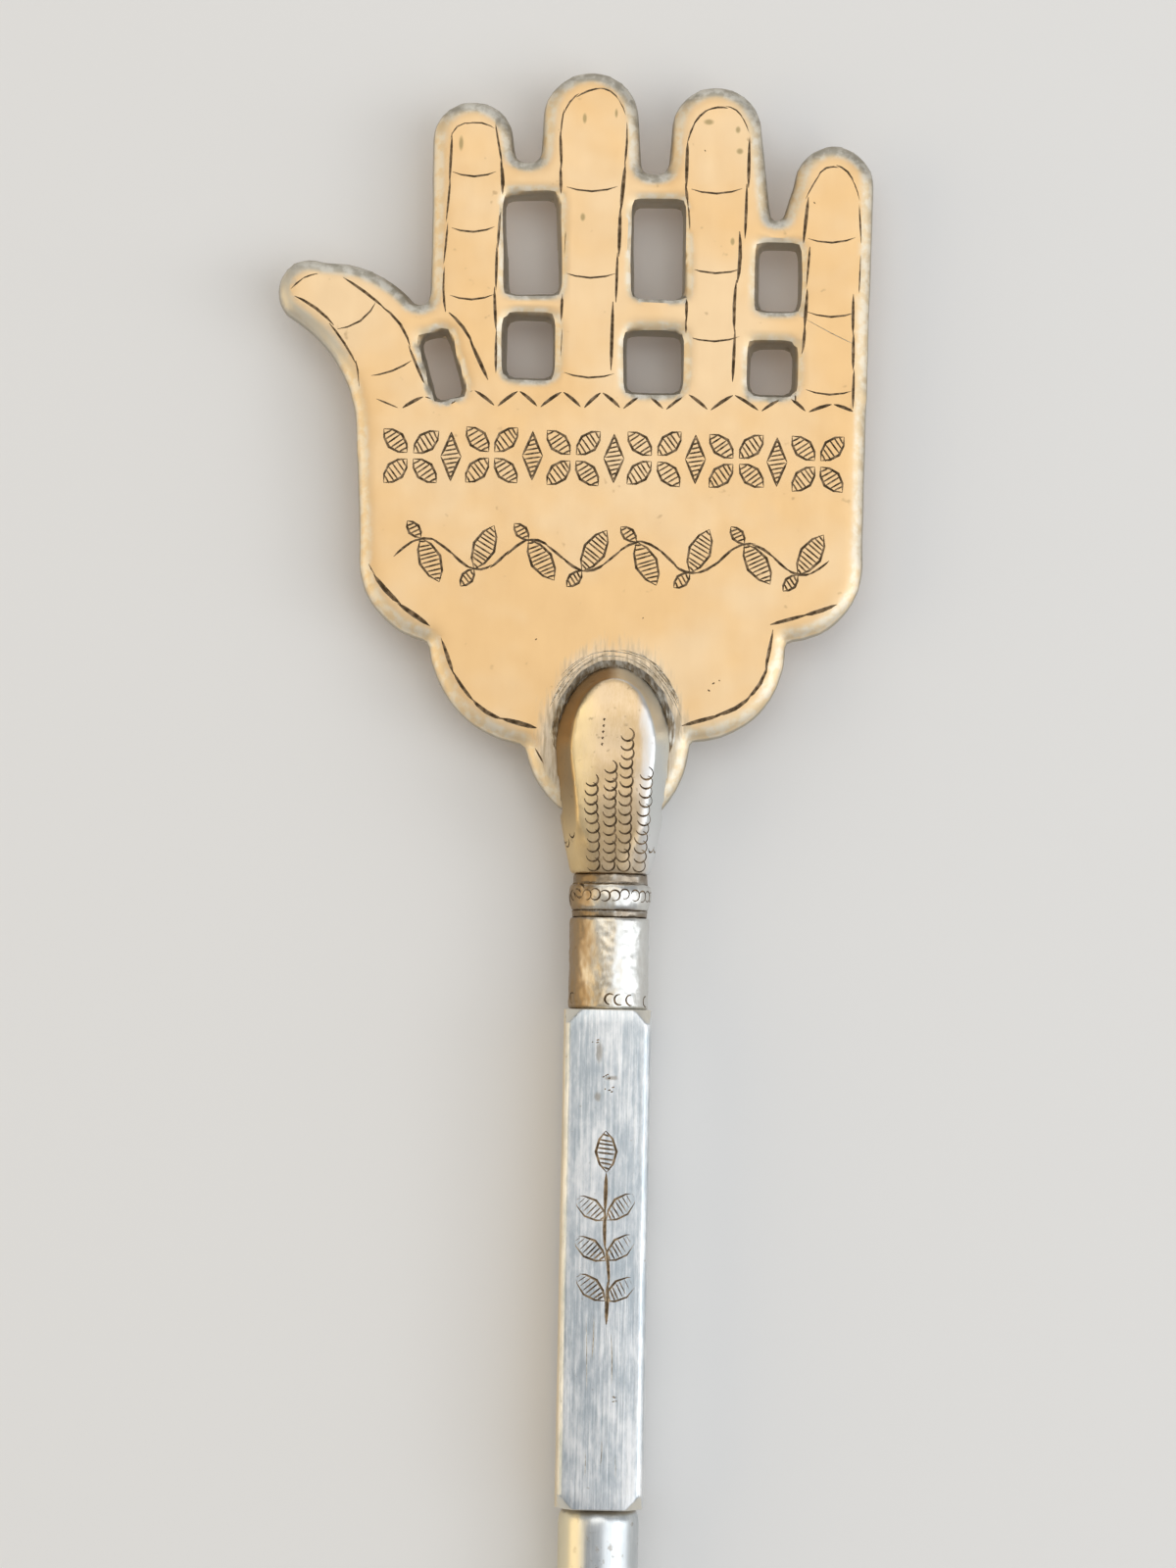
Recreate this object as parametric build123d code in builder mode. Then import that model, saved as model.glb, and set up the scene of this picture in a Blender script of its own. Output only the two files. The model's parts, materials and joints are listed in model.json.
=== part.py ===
from build123d import *
import math
import os

# A reading pointer in silver with a flat open hand. The hand is cut from sheet and soldered into a slotted
# socket. The shaft is a stack of turned and filed sections on one core rod, with a loose ring at its end.
# Millimetres. The pointer lies on its back along Y, with the fingers towards +Y and the front towards +Z.
# Stations run along the shaft from the foot of the socket, positive towards the fingers.

# Core rod inside the shaft
CORE_DIAMETER = 2.4
CORE_CLEARANCE = 0.05
CORE_END_GAP = 0.2

# Hand socket: a filed bulb with a flat oval face front and back, slotted for the plate
SOCKET_WIDTH = 8.1
SOCKET_DEPTH = 7.2
SOCKET_FACE_WIDTH = 5.7
SOCKET_FOOT_DIAMETER = 5.45
SOCKET_SHOULDER = 8.5
SOCKET_CROWN = 5.8
SOCKET_CROWN_DEPTH = 6.2
SOCKET_FLANK_BULGE = 0.15
SOCKET_CROWNING = 0.1
SOCKET_ROUNDING_LENGTH = 7.0
SOCKET_BORE_DEPTH = 3.0
SLOT_STATION = 4.2
SLOT_CLEARANCE = 0.05

# Solder run round the mouth of the socket
SOLDER_LEG = 0.45
SOLDER_START = 7.0

# Hand plate: heights are counted from its foot, fingers run from the index to the little finger
PLATE_THICKNESS = 2.4
PLATE_FOOT_WIDTH = 6.5
RIM_WIDTH = 0.8
RIM_DEPTH = 0.5
INDEX_EDGE = -13.2
FINGER_WIDTHS = (3.65, 4.75, 4.35, 3.6)
FINGER_RIM = 0.95
FINGER_TIPS = (49.2, 51.4, 50.5, 46.5)
FINGER_GAPS = (2.0, 2.3, 2.25)
GAP_FLOORS = (45.0, 44.3, 41.2)
GAP_FLOOR_WIDTHS = (1.8, 1.9, 0.9)
GAP_CORNER = 0.6
GAP_CORNER_SHARE = 0.8
THUMB_ROOT_WIDTH = 4.9
THUMB_ROOT = 26.0
THUMB_SPREAD = 3.35
THUMB_TIP = 35.6
THUMB_TIP_RADIUS = 2.3
THUMB_HOLLOW = 1.25
THUMB_BULGE = 0.7
THUMB_TIP_ANGLES = (65.0, 145.0, 225.0)
NOTCH_FLOOR = 34.85
NOTCH_WIDTH = 1.4
NOTCH_DEPTH = 0.5
PALM_RISE = 18.0
PALM_TAPER = 0.4

# Scalloped wrist, on the thumb side and on the little finger's side, with lobes from the foot up
LOBE_BULGES = ((0.55, 1.75, 1.6), (0.5, 2.1, 1.8))
OUTER_CUSP_RISES = (11.5, 11.95)
OUTER_CUSP_INSETS = (4.9, 5.2)
INNER_CUSP_RISES = (4.5, 5.0)
INNER_CUSP_REACHES = (6.05, 5.3)

# Pierced holes, upper and lower in each gap between fingers: width, height, height of the sill, shift across
PIERCINGS = (
    ((3.9, 7.1, 35.65, 0.45), (3.6, 4.45, 29.8, 0.40)),
    ((3.8, 6.95, 35.45, 0.37), (4.15, 4.4, 28.95, 0.20)),
    ((3.1, 4.75, 34.75, 0.20), (3.3, 3.7, 28.95, -0.20)),
)
PIERCING_LEANS = ((3.0, 0.0), (1.0, 0.0), (0.0, 0.0))
THUMB_PIERCING_WIDTH = 2.3
THUMB_PIERCING_HEIGHT = 4.8
THUMB_PIERCING_BRIDGE = 1.85
THUMB_PIERCING_INSET = 0.95
THUMB_PIERCING_LEAN = 16.0
PIERCING_CORNER = 0.5
PIERCING_DRAFT = 7.0

# Most of a step or a bead that its rounding may take
ROUND_SHARE = 0.9

# Turned ring and ferrule under the socket
NECK_DIAMETER = 5.1
NECK_RING_STAND = 0.275
NECK_RING_BEAD = 1.85
NECK_UPPER_GROOVE = 0.65
NECK_LOWER_GROOVE = 0.45
NECK_RING_ROUND = 0.24
FERRULE_DIAMETER = 5.45
FERRULE_LENGTH = 6.25
FERRULE_ROUND = 0.2

# Square bar with filed corners, filed back further at both ends
BAR_ACROSS = 6.0
BAR_LENGTH = 33.6
BAR_CORNER = 0.3
BAR_END_FILING = 0.76
BAR_END_SLOPE = 30

# Round grip rod
GRIP_DIAMETER = 5.5
GRIP_LENGTH = 64.0
GRIP_GROOVE_DEPTH = 0.25
GRIP_GROOVE_LENGTH = 0.4
GRIP_SHOULDER_ROUND = 0.22

# Collars above and below the knop
COLLAR_STAND = 0.8
COLLAR_BEAD = 1.6
COLLAR_GROOVE = 0.5
COLLAR_ROUND = 0.6

# Faceted knop and domed end cap
KNOP_LENGTH = 8.0
KNOP_FACET = 1.5
CAP_DIAMETER = 6.0
CAP_RIM = 0.7
CAP_LENGTH = 3.2
CAP_TIP_DIAMETER = 4.6

# Hanging eye and ring
EYE_NECK_DIAMETER = 3.8
EYE_NECK_LENGTH = 2.4
EYE_BORE_DEPTH = 2.0
EYE_DIAMETER = 6.0
EYE_THICKNESS = 2.2
EYE_HOLE_DIAMETER = 2.6
EYE_ROUND = 0.4
RING_INNER_DIAMETER = 10.0
RING_WIRE = 1.5

# Places along the shaft, worked out from the lengths above
neck_ring_length = NECK_UPPER_GROOVE + NECK_RING_BEAD + NECK_LOWER_GROOVE
collar_length = COLLAR_BEAD + 2 * COLLAR_GROOVE
ferrule_top = -neck_ring_length
bar_top = ferrule_top - FERRULE_LENGTH
grip_top = bar_top - BAR_LENGTH
grip_collar_top = grip_top - GRIP_LENGTH
knop_top = grip_collar_top - collar_length
end_collar_top = knop_top - KNOP_LENGTH
cap_top = end_collar_top - collar_length
eye_top = cap_top - CAP_LENGTH
eye_hole = eye_top - EYE_NECK_LENGTH - EYE_HOLE_DIAMETER / 2
core_top = SOCKET_BORE_DEPTH - CORE_END_GAP
core_bottom = eye_top - EYE_BORE_DEPTH + CORE_END_GAP
socket_top = SOCKET_SHOULDER + SOCKET_CROWN
plate_foot = SLOT_STATION + SLOT_CLEARANCE
bore_radius = CORE_DIAMETER / 2 + CORE_CLEARANCE
groove_radius = GRIP_DIAMETER / 2 - GRIP_GROOVE_DEPTH
plate_half = PLATE_THICKNESS / 2

# The knop is as deep as the socket, so the pointer lies level on the two of them
axis_height = SOCKET_DEPTH / 2
knop_across = SOCKET_DEPTH
SHAFT = Plane(origin=(0, -knop_top + KNOP_LENGTH / 2, axis_height), x_dir=(1, 0, 0), z_dir=(0, 0, 1))
SHAFT_AXIS = Axis(SHAFT.origin, (0, 1, 0))
SHAFT_SIDE = Plane(origin=SHAFT.origin, x_dir=(0, 1, 0), z_dir=(1, 0, 0))


def across_shaft(station):
    """Plane square to the shaft at a station, facing the fingers."""
    return Plane(origin=SHAFT.from_local_coords((0, station, 0)), x_dir=(1, 0, 0), z_dir=(0, 1, 0))


def socket_arch(height, grow):
    """Arched outline of the socket at a height over the shaft's middle, drawn in or out by grow."""
    half = SOCKET_WIDTH / 2 + grow
    half_foot = SOCKET_FOOT_DIAMETER / 2 + grow
    with BuildSketch(SHAFT.offset(height)) as arch:
        with BuildLine():
            shoulder = (0, SOCKET_SHOULDER)
            EllipticalCenterArc(shoulder, half, SOCKET_CROWN + grow, start_angle=0, arc_size=180)
            SagittaArc((-half, SOCKET_SHOULDER), (-half_foot, 0), -SOCKET_FLANK_BULGE)
            Line((-half_foot, 0), (half_foot, 0))
            SagittaArc((half_foot, 0), (half, SOCKET_SHOULDER), -SOCKET_FLANK_BULGE)
        make_face()
    return arch.sketch


# Core rod
with BuildPart() as core_rod:
    with BuildSketch(across_shaft(core_top)):
        Circle(CORE_DIAMETER / 2)
    extrude(amount=core_bottom - core_top)

# Hand socket
with BuildPart() as hand_socket:
    face_inset = (SOCKET_FACE_WIDTH - SOCKET_WIDTH) / 2
    loft([socket_arch(plate_half, 0), socket_arch(SOCKET_DEPTH / 2, face_inset)], ruled=True)
    mirror(about=SHAFT)
    extrude(socket_arch(0, 0), amount=plate_half, both=True)
    # Side view: fullest at the shoulder, thinner at the crown and at the round foot
    with BuildSketch(SHAFT_SIDE):
        with BuildLine():
            full_depth = SOCKET_DEPTH / 2 + SOCKET_CROWNING
            crown_depth = SOCKET_CROWN_DEPTH / 2
            foot_depth = SOCKET_FOOT_DIAMETER / 2
            ThreePointArc((0, foot_depth), (SOCKET_SHOULDER, full_depth), (socket_top, crown_depth))
            Line((socket_top, crown_depth), (socket_top, -crown_depth))
            ThreePointArc((socket_top, -crown_depth), (SOCKET_SHOULDER, -full_depth), (0, -foot_depth))
            Line((0, -foot_depth), (0, foot_depth))
        make_face()
    extrude(amount=SOCKET_WIDTH, both=True, mode=Mode.INTERSECT)
    # The foot is filed round to meet the ring below
    with BuildSketch(SHAFT):
        with BuildLine():
            rounded_radius = math.hypot(SOCKET_WIDTH, SOCKET_DEPTH) / 2
            Polyline(
                (0, 0),
                (SOCKET_FOOT_DIAMETER / 2, 0),
                (rounded_radius, SOCKET_ROUNDING_LENGTH),
                (rounded_radius, socket_top),
                (0, socket_top),
                close=True,
            )
        make_face()
    revolve(axis=SHAFT_AXIS, mode=Mode.INTERSECT)
    # Slot for the plate, open at the crown and at both sides
    slot_length = socket_top - SLOT_STATION
    with BuildSketch(SHAFT):
        with Locations((0, SLOT_STATION + slot_length)):
            Rectangle(2 * SOCKET_WIDTH, 2 * slot_length)
    extrude(amount=plate_half + SLOT_CLEARANCE, both=True, mode=Mode.SUBTRACT)
    with Locations(across_shaft(0).location):
        Hole(bore_radius, depth=SOCKET_BORE_DEPTH)

# Hand plate
finger_edges = []
next_edge = INDEX_EDGE
for finger_width, gap in zip(FINGER_WIDTHS, FINGER_GAPS + (0,)):
    far_edge = next_edge + finger_width + 2 * FINGER_RIM
    finger_edges.append((next_edge, far_edge))
    next_edge = far_edge + gap
palm_left = INDEX_EDGE - THUMB_ROOT_WIDTH
palm_right = finger_edges[-1][1]


def scallops(side, palm_edge):
    """Corner points of the scalloped wrist on side 0, the thumb's, or 1, from the foot up to the palm."""
    outward = (-1, 1)[side]
    wrist_edge = palm_edge - outward * PALM_TAPER
    return (
        (outward * PLATE_FOOT_WIDTH / 2, plate_foot),
        (outward * INNER_CUSP_REACHES[side], plate_foot + INNER_CUSP_RISES[side]),
        (wrist_edge - outward * OUTER_CUSP_INSETS[side], plate_foot + OUTER_CUSP_RISES[side]),
        (wrist_edge, plate_foot + PALM_RISE),
    )


def on_thumb_tip(angle):
    """Point on the round tip of the thumb."""
    return (
        palm_left - THUMB_SPREAD + THUMB_TIP_RADIUS * math.cos(math.radians(angle)),
        plate_foot + THUMB_TIP + THUMB_TIP_RADIUS * math.sin(math.radians(angle)),
    )


with BuildPart() as hand_plate:
    rim_start = plate_half - RIM_DEPTH
    with BuildSketch(SHAFT.offset(rim_start)) as hand_outline:
        with BuildLine():
            thumb_side = scallops(0, palm_left)
            little_side = scallops(1, palm_right)
            Line(thumb_side[0], little_side[0])
            for start, end, bulge in zip(little_side, little_side[1:], LOBE_BULGES[1]):
                SagittaArc(start, end, -bulge)
            rising = little_side[-1]
            for number in reversed(range(len(finger_edges))):
                near, far = finger_edges[number]
                tip_height = plate_foot + FINGER_TIPS[number]
                tip_base = tip_height - (far - near) / 2
                Line(rising, (far, tip_base))
                ThreePointArc((far, tip_base), ((near + far) / 2, tip_height), (near, tip_base))
                if number == 0:
                    break
                gap = number - 1
                gap_middle = (finger_edges[gap][1] + near) / 2
                floor_half = GAP_FLOOR_WIDTHS[gap] / 2
                floor_height = plate_foot + GAP_FLOORS[gap]
                corner = min(GAP_CORNER, GAP_CORNER_SHARE * floor_half)
                corner_sag = corner * (1 - math.sqrt(0.5))
                falling = (gap_middle + floor_half, floor_height + corner)
                rising = (gap_middle - floor_half, floor_height + corner)
                floor_far = (gap_middle + floor_half - corner, floor_height)
                floor_near = (gap_middle - floor_half + corner, floor_height)
                Line((near, tip_base), falling)
                SagittaArc(falling, floor_far, corner_sag)
                Line(floor_far, floor_near)
                SagittaArc(floor_near, rising, corner_sag)
            notch_start = (INDEX_EDGE, plate_foot + NOTCH_FLOOR + NOTCH_DEPTH)
            notch_floor = (INDEX_EDGE - NOTCH_WIDTH / 2, plate_foot + NOTCH_FLOOR)
            notch_end = (INDEX_EDGE - NOTCH_WIDTH, plate_foot + NOTCH_FLOOR + NOTCH_DEPTH)
            Line((near, tip_base), notch_start)
            ThreePointArc(notch_start, notch_floor, notch_end)
            tip_inner, tip_middle, tip_outer = [on_thumb_tip(angle) for angle in THUMB_TIP_ANGLES]
            SagittaArc(notch_end, tip_inner, -THUMB_BULGE)
            ThreePointArc(tip_inner, tip_middle, tip_outer)
            thumb_root = (palm_left, plate_foot + THUMB_ROOT)
            SagittaArc(tip_outer, thumb_root, THUMB_HOLLOW)
            Line(thumb_root, thumb_side[-1])
            for start, end, bulge in zip(thumb_side, thumb_side[1:], LOBE_BULGES[0]):
                SagittaArc(end, start, -bulge)
        make_face()
    # The middle of the sheet has upright edges, and the rim is filed down towards each face
    extrude(amount=-2 * rim_start)
    extrude(hand_outline.sketch, amount=RIM_DEPTH, taper=math.degrees(math.atan2(RIM_WIDTH, RIM_DEPTH)))
    mirror(about=SHAFT)
    with BuildSketch(SHAFT.offset(plate_half)):
        for between, (holes, leans) in enumerate(zip(PIERCINGS, PIERCING_LEANS)):
            gap_middle = (finger_edges[between][1] + finger_edges[between + 1][0]) / 2
            for (width, height, sill, shift), lean in zip(holes, leans):
                centre = (gap_middle + shift, plate_foot + sill + height / 2, 0)
                with Locations(Location(centre, (0, 0, lean))):
                    RectangleRounded(width, height, PIERCING_CORNER)
        thumb_piercing_rise = NOTCH_FLOOR - THUMB_PIERCING_BRIDGE - THUMB_PIERCING_HEIGHT / 2
        thumb_piercing = (INDEX_EDGE + THUMB_PIERCING_INSET, plate_foot + thumb_piercing_rise, 0)
        with Locations(Location(thumb_piercing, (0, 0, THUMB_PIERCING_LEAN))):
            RectangleRounded(THUMB_PIERCING_WIDTH, THUMB_PIERCING_HEIGHT, PIERCING_CORNER)
    extrude(amount=-PLATE_THICKNESS, taper=PIERCING_DRAFT, mode=Mode.SUBTRACT)

# Solder run on the plate round the socket's mouth, front and back
with BuildPart() as socket_solder:
    solder_foot = socket_arch(plate_half, SOLDER_LEG)
    solder_top = socket_arch(plate_half + SOLDER_LEG, -SOLDER_LEG)
    loft([solder_foot, solder_top], ruled=True)
    mirror(about=SHAFT)
    with BuildSketch(SHAFT):
        with Locations((0, SOLDER_START + SOCKET_WIDTH)):
            Rectangle(2 * SOCKET_WIDTH, 2 * SOCKET_WIDTH)
    extrude(amount=SOCKET_DEPTH, both=True, mode=Mode.INTERSECT)
    add(hand_socket.part, mode=Mode.SUBTRACT)

# Neck ring with a groove on each side
with BuildPart() as neck_ring:
    with BuildSketch(SHAFT) as neck_profile:
        with BuildLine():
            bead_top = -NECK_UPPER_GROOVE
            bead_foot = bead_top - NECK_RING_BEAD
            Polyline(
                (bore_radius, 0),
                (NECK_DIAMETER / 2, 0),
                (NECK_DIAMETER / 2, bead_top),
                (NECK_DIAMETER / 2 + NECK_RING_STAND, bead_top),
                (NECK_DIAMETER / 2 + NECK_RING_STAND, bead_foot),
                (NECK_DIAMETER / 2, bead_foot),
                (NECK_DIAMETER / 2, ferrule_top),
                (bore_radius, ferrule_top),
                close=True,
            )
        make_face()
        neck_round = min(NECK_RING_ROUND, ROUND_SHARE * NECK_RING_STAND)
        fillet(neck_profile.vertices().group_by(Axis.X)[-1], radius=neck_round)
    revolve(axis=SHAFT_AXIS)

# Neck ferrule
with BuildPart() as neck_ferrule:
    with BuildSketch(across_shaft(ferrule_top)):
        Circle(FERRULE_DIAMETER / 2)
        Circle(bore_radius, mode=Mode.SUBTRACT)
    extrude(amount=-FERRULE_LENGTH)
    ferrule_rims = neck_ferrule.edges().filter_by(GeomType.CIRCLE).group_by(SortBy.RADIUS)[-1]
    fillet(ferrule_rims, radius=FERRULE_ROUND)

# Square bar
with BuildPart() as square_bar:
    with BuildSketch(across_shaft(bar_top)) as bar_section:
        Rectangle(BAR_ACROSS, BAR_ACROSS)
        chamfer(bar_section.vertices(), length=BAR_CORNER)
    extrude(amount=-BAR_LENGTH)
    with BuildSketch(SHAFT):
        with BuildLine():
            corner_radius = BAR_ACROSS / math.sqrt(2)
            end_radius = corner_radius - BAR_END_FILING
            filed_length = BAR_END_FILING / math.tan(math.radians(BAR_END_SLOPE))
            Polyline(
                (0, bar_top),
                (end_radius, bar_top),
                (corner_radius, bar_top - filed_length),
                (corner_radius, grip_top + filed_length),
                (end_radius, grip_top),
                (0, grip_top),
                close=True,
            )
        make_face()
    revolve(axis=SHAFT_AXIS, mode=Mode.INTERSECT)
    with Locations(across_shaft(bar_top).location):
        Hole(bore_radius)

# Round grip rod with a groove against the bar
with BuildPart() as grip_rod:
    with BuildSketch(SHAFT) as grip_profile:
        with BuildLine():
            shoulder = grip_top - GRIP_GROOVE_LENGTH
            Polyline(
                (bore_radius, grip_top),
                (groove_radius, grip_top),
                (groove_radius, shoulder),
                (GRIP_DIAMETER / 2, shoulder),
                (GRIP_DIAMETER / 2, grip_collar_top),
                (bore_radius, grip_collar_top),
                close=True,
            )
        make_face()
        grip_round = min(GRIP_SHOULDER_ROUND, ROUND_SHARE * GRIP_GROOVE_DEPTH)
        fillet(grip_profile.vertices().group_by(Axis.X)[-1], radius=grip_round)
    revolve(axis=SHAFT_AXIS)


def collar_profile(top):
    """Section of a turned collar: a round bead between two grooves."""
    bead_start = top - COLLAR_GROOVE
    bead_end = bead_start - COLLAR_BEAD
    with BuildSketch(SHAFT) as profile:
        with BuildLine():
            Polyline(
                (bore_radius, top),
                (groove_radius, top),
                (groove_radius, bead_start),
                (groove_radius + COLLAR_STAND, bead_start),
                (groove_radius + COLLAR_STAND, bead_end),
                (groove_radius, bead_end),
                (groove_radius, bead_end - COLLAR_GROOVE),
                (bore_radius, bead_end - COLLAR_GROOVE),
                close=True,
            )
        make_face()
        collar_round = min(COLLAR_ROUND, ROUND_SHARE * COLLAR_BEAD / 2, ROUND_SHARE * COLLAR_STAND)
        fillet(profile.vertices().group_by(Axis.X)[-1], radius=collar_round)
    return profile.sketch


# Collars above and below the knop
with BuildPart() as grip_collar:
    revolve(collar_profile(grip_collar_top), axis=SHAFT_AXIS)

with BuildPart() as end_collar:
    revolve(collar_profile(end_collar_top), axis=SHAFT_AXIS)

# Faceted knop, square with all its edges filed away
with BuildPart() as faceted_knop:
    with BuildSketch(across_shaft(knop_top)):
        Rectangle(knop_across, knop_across)
    extrude(amount=-KNOP_LENGTH)
    chamfer(faceted_knop.edges(), length=KNOP_FACET)
    with Locations(across_shaft(knop_top).location):
        Hole(bore_radius)

# Domed end cap
with BuildPart() as end_cap:
    with BuildSketch(SHAFT):
        with BuildLine():
            cap_edge = (CAP_DIAMETER / 2, cap_top - CAP_RIM)
            cap_tip = (CAP_TIP_DIAMETER / 2, eye_top)
            Polyline(
                cap_tip,
                (bore_radius, eye_top),
                (bore_radius, cap_top),
                (CAP_DIAMETER / 2, cap_top),
                cap_edge,
            )
            TangentArc(cap_edge, cap_tip, tangent=(0, -1))
        make_face()
    revolve(axis=SHAFT_AXIS)

# Hanging eye on a short neck, bored for the end of the core rod
with BuildPart() as hanging_eye:
    with BuildSketch(SHAFT_SIDE):
        with Locations((eye_hole, 0)):
            Circle(EYE_DIAMETER / 2)
    extrude(amount=EYE_THICKNESS / 2, both=True)
    fillet(hanging_eye.edges().filter_by(GeomType.CIRCLE), radius=EYE_ROUND)
    with BuildSketch(across_shaft(eye_top)):
        Circle(EYE_NECK_DIAMETER / 2)
    extrude(amount=-EYE_NECK_LENGTH)
    with BuildSketch(SHAFT_SIDE):
        with Locations((eye_hole, 0)):
            Circle(EYE_HOLE_DIAMETER / 2)
    extrude(amount=EYE_NECK_DIAMETER, both=True, mode=Mode.SUBTRACT)
    with Locations(across_shaft(eye_top).location):
        Hole(bore_radius, depth=EYE_BORE_DEPTH)

# Loose ring through the eye, its far side resting on the table
with BuildPart() as hanging_ring:
    ring_radius = (RING_INNER_DIAMETER + RING_WIRE) / 2
    droop = math.asin((axis_height - RING_WIRE / 2) / (2 * ring_radius))
    ring_centre = SHAFT.from_local_coords(
        (0, eye_hole - ring_radius * math.cos(droop), -ring_radius * math.sin(droop))
    )
    ring_plane = Plane(origin=ring_centre, x_dir=(1, 0, 0), z_dir=(0, -math.sin(droop), math.cos(droop)))
    with Locations(ring_plane.location):
        Torus(ring_radius, RING_WIRE / 2)

pieces = {
    "core_rod": core_rod,
    "hand_socket": hand_socket,
    "hand_plate": hand_plate,
    "socket_solder": socket_solder,
    "neck_ring": neck_ring,
    "neck_ferrule": neck_ferrule,
    "square_bar": square_bar,
    "grip_rod": grip_rod,
    "grip_collar": grip_collar,
    "faceted_knop": faceted_knop,
    "end_collar": end_collar,
    "end_cap": end_cap,
    "hanging_eye": hanging_eye,
    "hanging_ring": hanging_ring,
}
os.makedirs("parts", exist_ok=True)
for node, piece in pieces.items():
    piece.part.label = node
    export_step(piece.part, f"parts/{node}.step")
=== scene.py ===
import json
import math
import random

import bpy
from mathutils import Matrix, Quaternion, Vector, noise

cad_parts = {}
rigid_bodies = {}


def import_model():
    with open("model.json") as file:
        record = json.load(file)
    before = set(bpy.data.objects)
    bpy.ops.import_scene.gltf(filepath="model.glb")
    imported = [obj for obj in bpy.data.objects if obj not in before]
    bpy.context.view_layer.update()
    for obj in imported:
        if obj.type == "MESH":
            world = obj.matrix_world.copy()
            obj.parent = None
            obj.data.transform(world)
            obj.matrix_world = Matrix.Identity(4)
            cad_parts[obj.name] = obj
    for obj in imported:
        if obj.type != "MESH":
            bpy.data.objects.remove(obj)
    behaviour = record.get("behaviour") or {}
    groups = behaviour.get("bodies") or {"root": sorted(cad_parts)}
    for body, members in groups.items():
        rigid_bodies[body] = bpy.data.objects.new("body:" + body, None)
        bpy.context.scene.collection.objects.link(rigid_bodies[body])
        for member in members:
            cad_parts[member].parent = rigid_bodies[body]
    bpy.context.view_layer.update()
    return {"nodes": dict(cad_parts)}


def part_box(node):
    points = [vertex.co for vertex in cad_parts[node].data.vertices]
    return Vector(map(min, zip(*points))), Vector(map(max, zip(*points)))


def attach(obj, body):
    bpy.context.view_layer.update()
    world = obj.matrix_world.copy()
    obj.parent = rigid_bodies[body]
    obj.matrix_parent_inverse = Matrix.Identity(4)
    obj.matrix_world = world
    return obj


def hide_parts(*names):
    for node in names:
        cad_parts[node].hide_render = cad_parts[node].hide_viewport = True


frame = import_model()

# Hand plate: an open hand sawn from thick sheet silver, pierced between the fingers, with its rim filed down.
# The front is engraved with a burin, in short strokes that overlap, and tarnish stays dark in the cuts.

MM = 0.001
MERGE_DISTANCE = 0.001 * MM
SMOOTH_ANGLE = math.radians(32)
EVEN_SCALE = 0.95
RUB_FACTOR = 0.5
unsteady = random.Random(7)
noise.seed_set(11)


def take_up(piece):
    """Makes a piece the only selected object, and the active one."""
    bpy.ops.object.select_all(action="DESELECT")
    piece.select_set(True)
    bpy.context.view_layer.objects.active = piece


def bench_copy(node, name, body="pointer"):
    """A merged copy of a node's solid that takes its place."""
    piece = bpy.data.objects.new(name, frame["nodes"][node].data.copy())
    bpy.context.collection.objects.link(piece)
    piece.data.materials.clear()
    take_up(piece)
    bpy.ops.object.mode_set(mode="EDIT")
    bpy.ops.mesh.select_all(action="SELECT")
    bpy.ops.mesh.remove_doubles(threshold=MERGE_DISTANCE)
    bpy.ops.object.mode_set(mode="OBJECT")
    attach(piece, body)
    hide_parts(node)
    return piece


def even_out(piece, depth, passes):
    """Lays an even mesh over a piece, finer with depth, and rubs it down, which softens its edges."""
    take_up(piece)
    evened = piece.modifiers.new("evened", "REMESH")
    evened.mode = "SMOOTH"
    evened.octree_depth = depth
    evened.scale = EVEN_SCALE
    bpy.ops.object.modifier_apply(modifier=evened.name)
    rub_down(piece, passes)


def rub_down(piece, passes):
    """Evens out the facets and softens the edges of a piece, as emery and polish do."""
    take_up(piece)
    bpy.ops.object.mode_set(mode="EDIT")
    bpy.ops.mesh.select_all(action="SELECT")
    bpy.ops.mesh.vertices_smooth(factor=RUB_FACTOR, repeat=passes)
    bpy.ops.object.mode_set(mode="OBJECT")


def file_by_hand(piece, depth, spread):
    """Moves the surface in and out by up to depth, in swells as long as spread, as filing and wear do."""
    for vertex in piece.data.vertices:
        drift = noise.noise_vector(vertex.co / (spread * MM))
        vertex.co += Vector(drift[axis] * depth[axis] * MM for axis in range(3))


def sweep_off(piece):
    """Takes off the specks that are left loose where cuts cross."""
    take_up(piece)
    bpy.ops.object.mode_set(mode="EDIT")
    bpy.ops.mesh.select_mode(type="VERT")
    bpy.ops.mesh.select_all(action="DESELECT")
    bpy.ops.object.mode_set(mode="OBJECT")
    lowest = min(piece.data.vertices, key=lambda vertex: vertex.co.y)
    lowest.select = True
    bpy.ops.object.mode_set(mode="EDIT")
    bpy.ops.mesh.select_linked()
    bpy.ops.mesh.select_all(action="INVERT")
    bpy.ops.mesh.delete(type="VERT")
    bpy.ops.object.mode_set(mode="OBJECT")


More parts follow.
